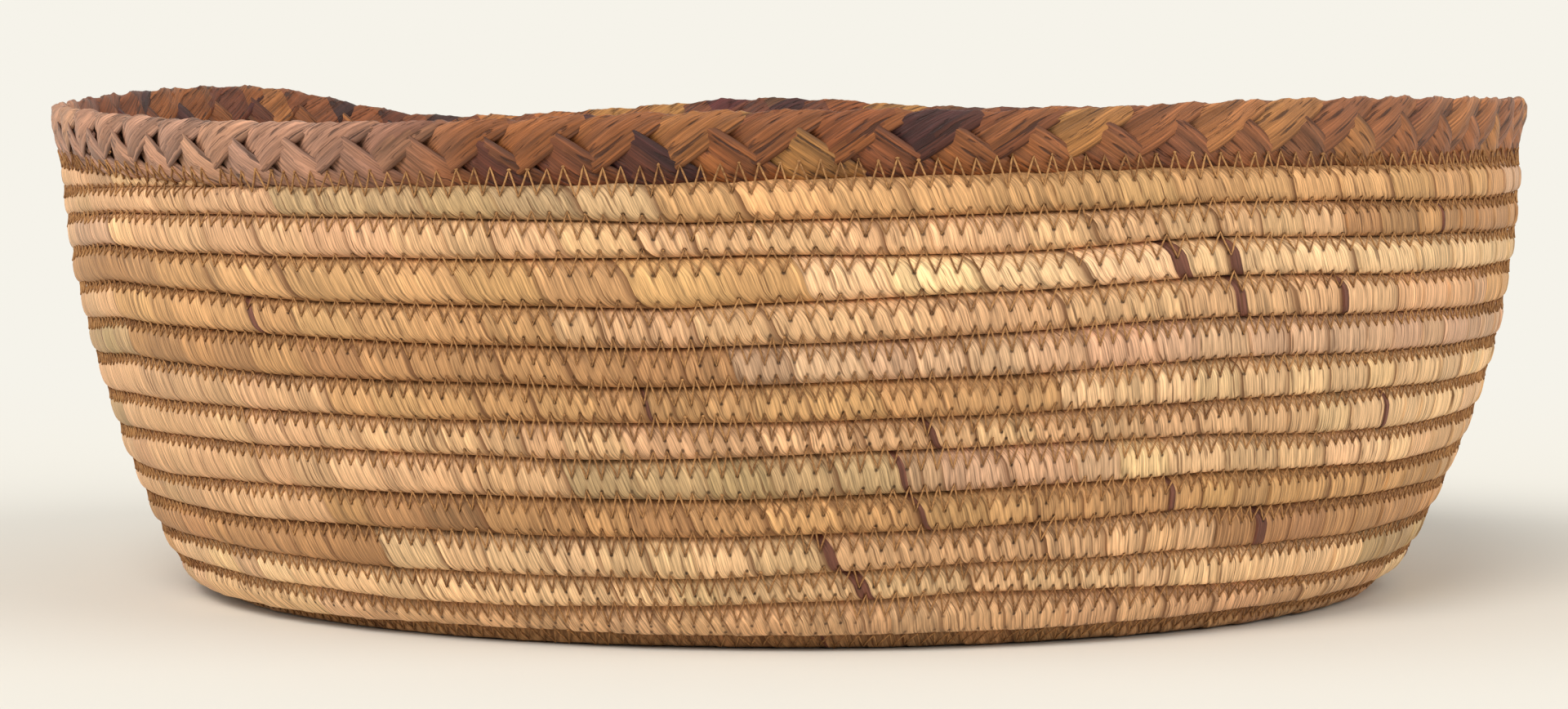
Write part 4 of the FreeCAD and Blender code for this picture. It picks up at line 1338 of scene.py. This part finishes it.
# %% [markdown]
# The three strands are the same strip, each a third of a repeat further on than the last. A
# strip is as wide as it can be without showing a gap, a good nine millimetres, and the depth
# that it dives to keeps it clear of the strand it passes.

# %% Plait the rim
PLAIT_SIZES = {"Half Height": 5.85 * MM, "Depth": 1.1 * MM, "Crown": 0.6 * MM,
               "Lean": 0.95 * MM, "Flatness": 0.8, "Leaf Width": 9.2 * MM,
               "Leaf Thickness": 0.9 * MM, "Leaf Edge": 0.45 * MM}
swing_at = 2 * math.pi * PLAIT_REPEATS * rim_turns
plait_pieces = {}
for number, letter in enumerate("abc"):
    label = "rim_plait_" + letter
    rim = line_of("rim_line_" + letter, points, {"up": up, "out": out, "swing": swing_at},
                  closed=True)
    strand = grow(rim, plaiting, label, {"Repeats": float(PLAIT_REPEATS), "Pace": pace * MM,
                                         "Phase": 2 * math.pi * number / 3, "Leaf": dark_leaf,
                                         **PLAIT_SIZES})
    plait_pieces[label] = (strand, ["plait_strand_" + letter])
    print(label, len(strand.data.polygons), "faces")

# %% [markdown]
# The same zigzag sews the plait to the cord, with longer stitches that go up into the leaf. It
# ends in a small knot here and there, where the thread has fluffed at a needle hole.

# %% Sew the plait on
RIM_STITCH = {"Reach Up": RIM_REACH_UP * MM, "Reach Down": RIM_REACH_DOWN * MM,
              "Thread Radius": 0.19 * MM, "Sides": 5, "Knot Share": 0.6}
rim_and_cord = joined("rim_and_cord", walls[-2:] + ends
                      + [piece for piece, _ in plait_pieces.values()])
for label, node, side, cuts in (("rim_stitches_outside", "rim_thread_outer", 1, 5),
                                ("rim_stitches_inside", "rim_thread_inner", -1, 4)):
    thread = sew(label, RIM_SEAM_FROM, RIM_SEAM_FROM + 1.0, side, rim_and_cord,
                 {**RIM_STITCH, "Cuts per Leg": cuts})
    thread_pieces[label] = (thread, [node])
    print(label, len(thread.data.polygons), "faces")
for bare in (whole_cord, rim_and_cord):
    bpy.data.objects.remove(bare)

# %% [markdown]
# ## Every piece stands for its solids
#
# Each piece rides with the basket's one body and hides the solids that it stands for.

# %% Hand the pieces over
total = 0
for group, slot_name in ((cord_pieces, "leaf_wrap"), (thread_pieces, "sewing_thread"),
                         (plait_pieces, "dark_leaf")):
    for piece, nodes in group.values():
        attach(piece, "root")
        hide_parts(*nodes)
        total += len(piece.data.polygons)
print("faces in all:", total)

# %% [markdown]
# ## Floor, light and camera
#
# The basket stands on a plain pale floor that reaches far behind it and keeps its soft shadow.
# Near the basket the floor is matt paper under the lamps. Further off it fades into the even
# backdrop, as a paper sweep would, so no horizon shows.

# %% Floor
BACKDROP, PAPER_SHARE = "#f6f3ea", 0.81     # the paper gives back this share of the light
PAPER_M = (0.2, 0.7)                        # from the middle, where it starts and ends to fade
corners = np.array([[-9, -3, 0], [9, -3, 0], [9, 30, 0], [-9, 30, 0]], float)
floor = put_in_scene("studio_floor", mesh_of("studio_floor", corners, np.array([[0, 1, 2, 3]])))
paper, tree, shader = new_material("pale_backdrop_paper")
where = add(tree, "ShaderNodeTexCoord").outputs["Object"]
grain = add(tree, RANGE, {"Value": add(tree, NOISE, {"Vector": where, "Scale": 3.0}),
                          "To Min": 0.995, "To Max": 1.005})
tree.links.new(add(tree, VECTOR, {0: tuple(linear(BACKDROP) * PAPER_SHARE), "Scale": grain},
                   operation="SCALE").outputs[0], shader.inputs["Base Color"])
shader.inputs["Roughness"].default_value = 1.0
shader.inputs["Specular IOR Level"].default_value = 0.0
distance = add(tree, VECTOR, [where], operation="LENGTH").outputs[1]
faded = add(tree, RANGE, {"Value": distance, "From Min": PAPER_M[0], "From Max": PAPER_M[1]},
            interpolation_type="SMOOTHSTEP")
seen = add(tree, MATH, (faded, add(tree, "ShaderNodeLightPath").outputs["Is Camera Ray"]),
           operation="MULTIPLY")
even = add(tree, "ShaderNodeEmission", {"Color": rgba(BACKDROP)})
either = add(tree, "ShaderNodeMixShader", (seen, shader, even))
output = next(node for node in tree.nodes if node.type == "OUTPUT_MATERIAL")
tree.links.new(either.outputs[0], output.inputs["Surface"])
floor.data.materials.append(paper)
print(paper.name, "fades between", PAPER_M, "m from the middle")

# %% [markdown]
# Lamps near the basket would light its floor unevenly, so the lamps are suns with a wide angle:
# each gives an even light with soft shadows. A strong one from the upper left in front and a
# weaker one from each side model the rows. The world fills in the rest, and looks as pale as
# the backdrop where the camera or a gloss sees it.

# %% Light
FILL = 0.54
world = bpy.data.worlds.new("pale_studio")
bpy.context.scene.world = world
world.use_nodes = True
tree = world.node_tree
tree.nodes.clear()
path = add(tree, "ShaderNodeLightPath").outputs
seen = add(tree, MATH, (path["Is Camera Ray"], path["Is Glossy Ray"]), operation="MAXIMUM")
fill = add(tree, "ShaderNodeBackground", {"Color": (1.0, 1.0, 0.99, 1), "Strength": FILL})
shown = add(tree, "ShaderNodeBackground", {"Color": rgba(BACKDROP), "Strength": 1.0})
either = add(tree, "ShaderNodeMixShader", (seen, fill, shown))
add(tree, "ShaderNodeOutputWorld", {"Surface": either})


def soft_lamp(name, azimuth, elevation, strength, spread, colour):
    """A wide lamp far away, so that it lights the floor evenly; all three angles in degrees."""
    lamp = bpy.data.lights.new(name, "SUN")
    lamp.energy, lamp.angle, lamp.color = strength, math.radians(spread), colour
    turn, rise = math.radians(azimuth), math.radians(elevation)
    towards = Vector((math.cos(turn) * math.cos(rise), math.sin(turn) * math.cos(rise),
                      math.sin(rise)))
    holder = put_in_scene(name, lamp)
    holder.rotation_euler = (-towards).to_track_quat("-Z", "Y").to_euler()
    return holder


lamps = [soft_lamp("key_lamp", 250, 46, 1.62, 30, (1, 0.98, 0.95)),
         soft_lamp("right_lamp", 335, 32, 1.1, 50, (1, 0.98, 0.94)),
         soft_lamp("left_lamp", 195, 32, 0.85, 50, (1, 0.98, 0.95))]
print("lamps:", [(lamp.name, round(lamp.data.energy, 2)) for lamp in lamps])

# %% [markdown]
# The camera stands a metre in front, a hand's width above the table, and looks slightly down
# with a long lens, so the rows lie nearly level and the inside of the far rim just shows.

# %% Camera
TILT_DOWN = 3.69                            # degrees
view = bpy.data.cameras.new("camera")
view.lens, view.sensor_width = 108.9, 36.0
camera = put_in_scene("camera", view)
camera.location = (-0.001, -0.975, 0.109)
camera.rotation_euler = (math.radians(90 - TILT_DOWN), 0, 0)
bpy.context.scene.camera = camera
bpy.context.scene.view_settings.view_transform = "Standard"
print("camera at", tuple(round(v, 3) for v in camera.location))
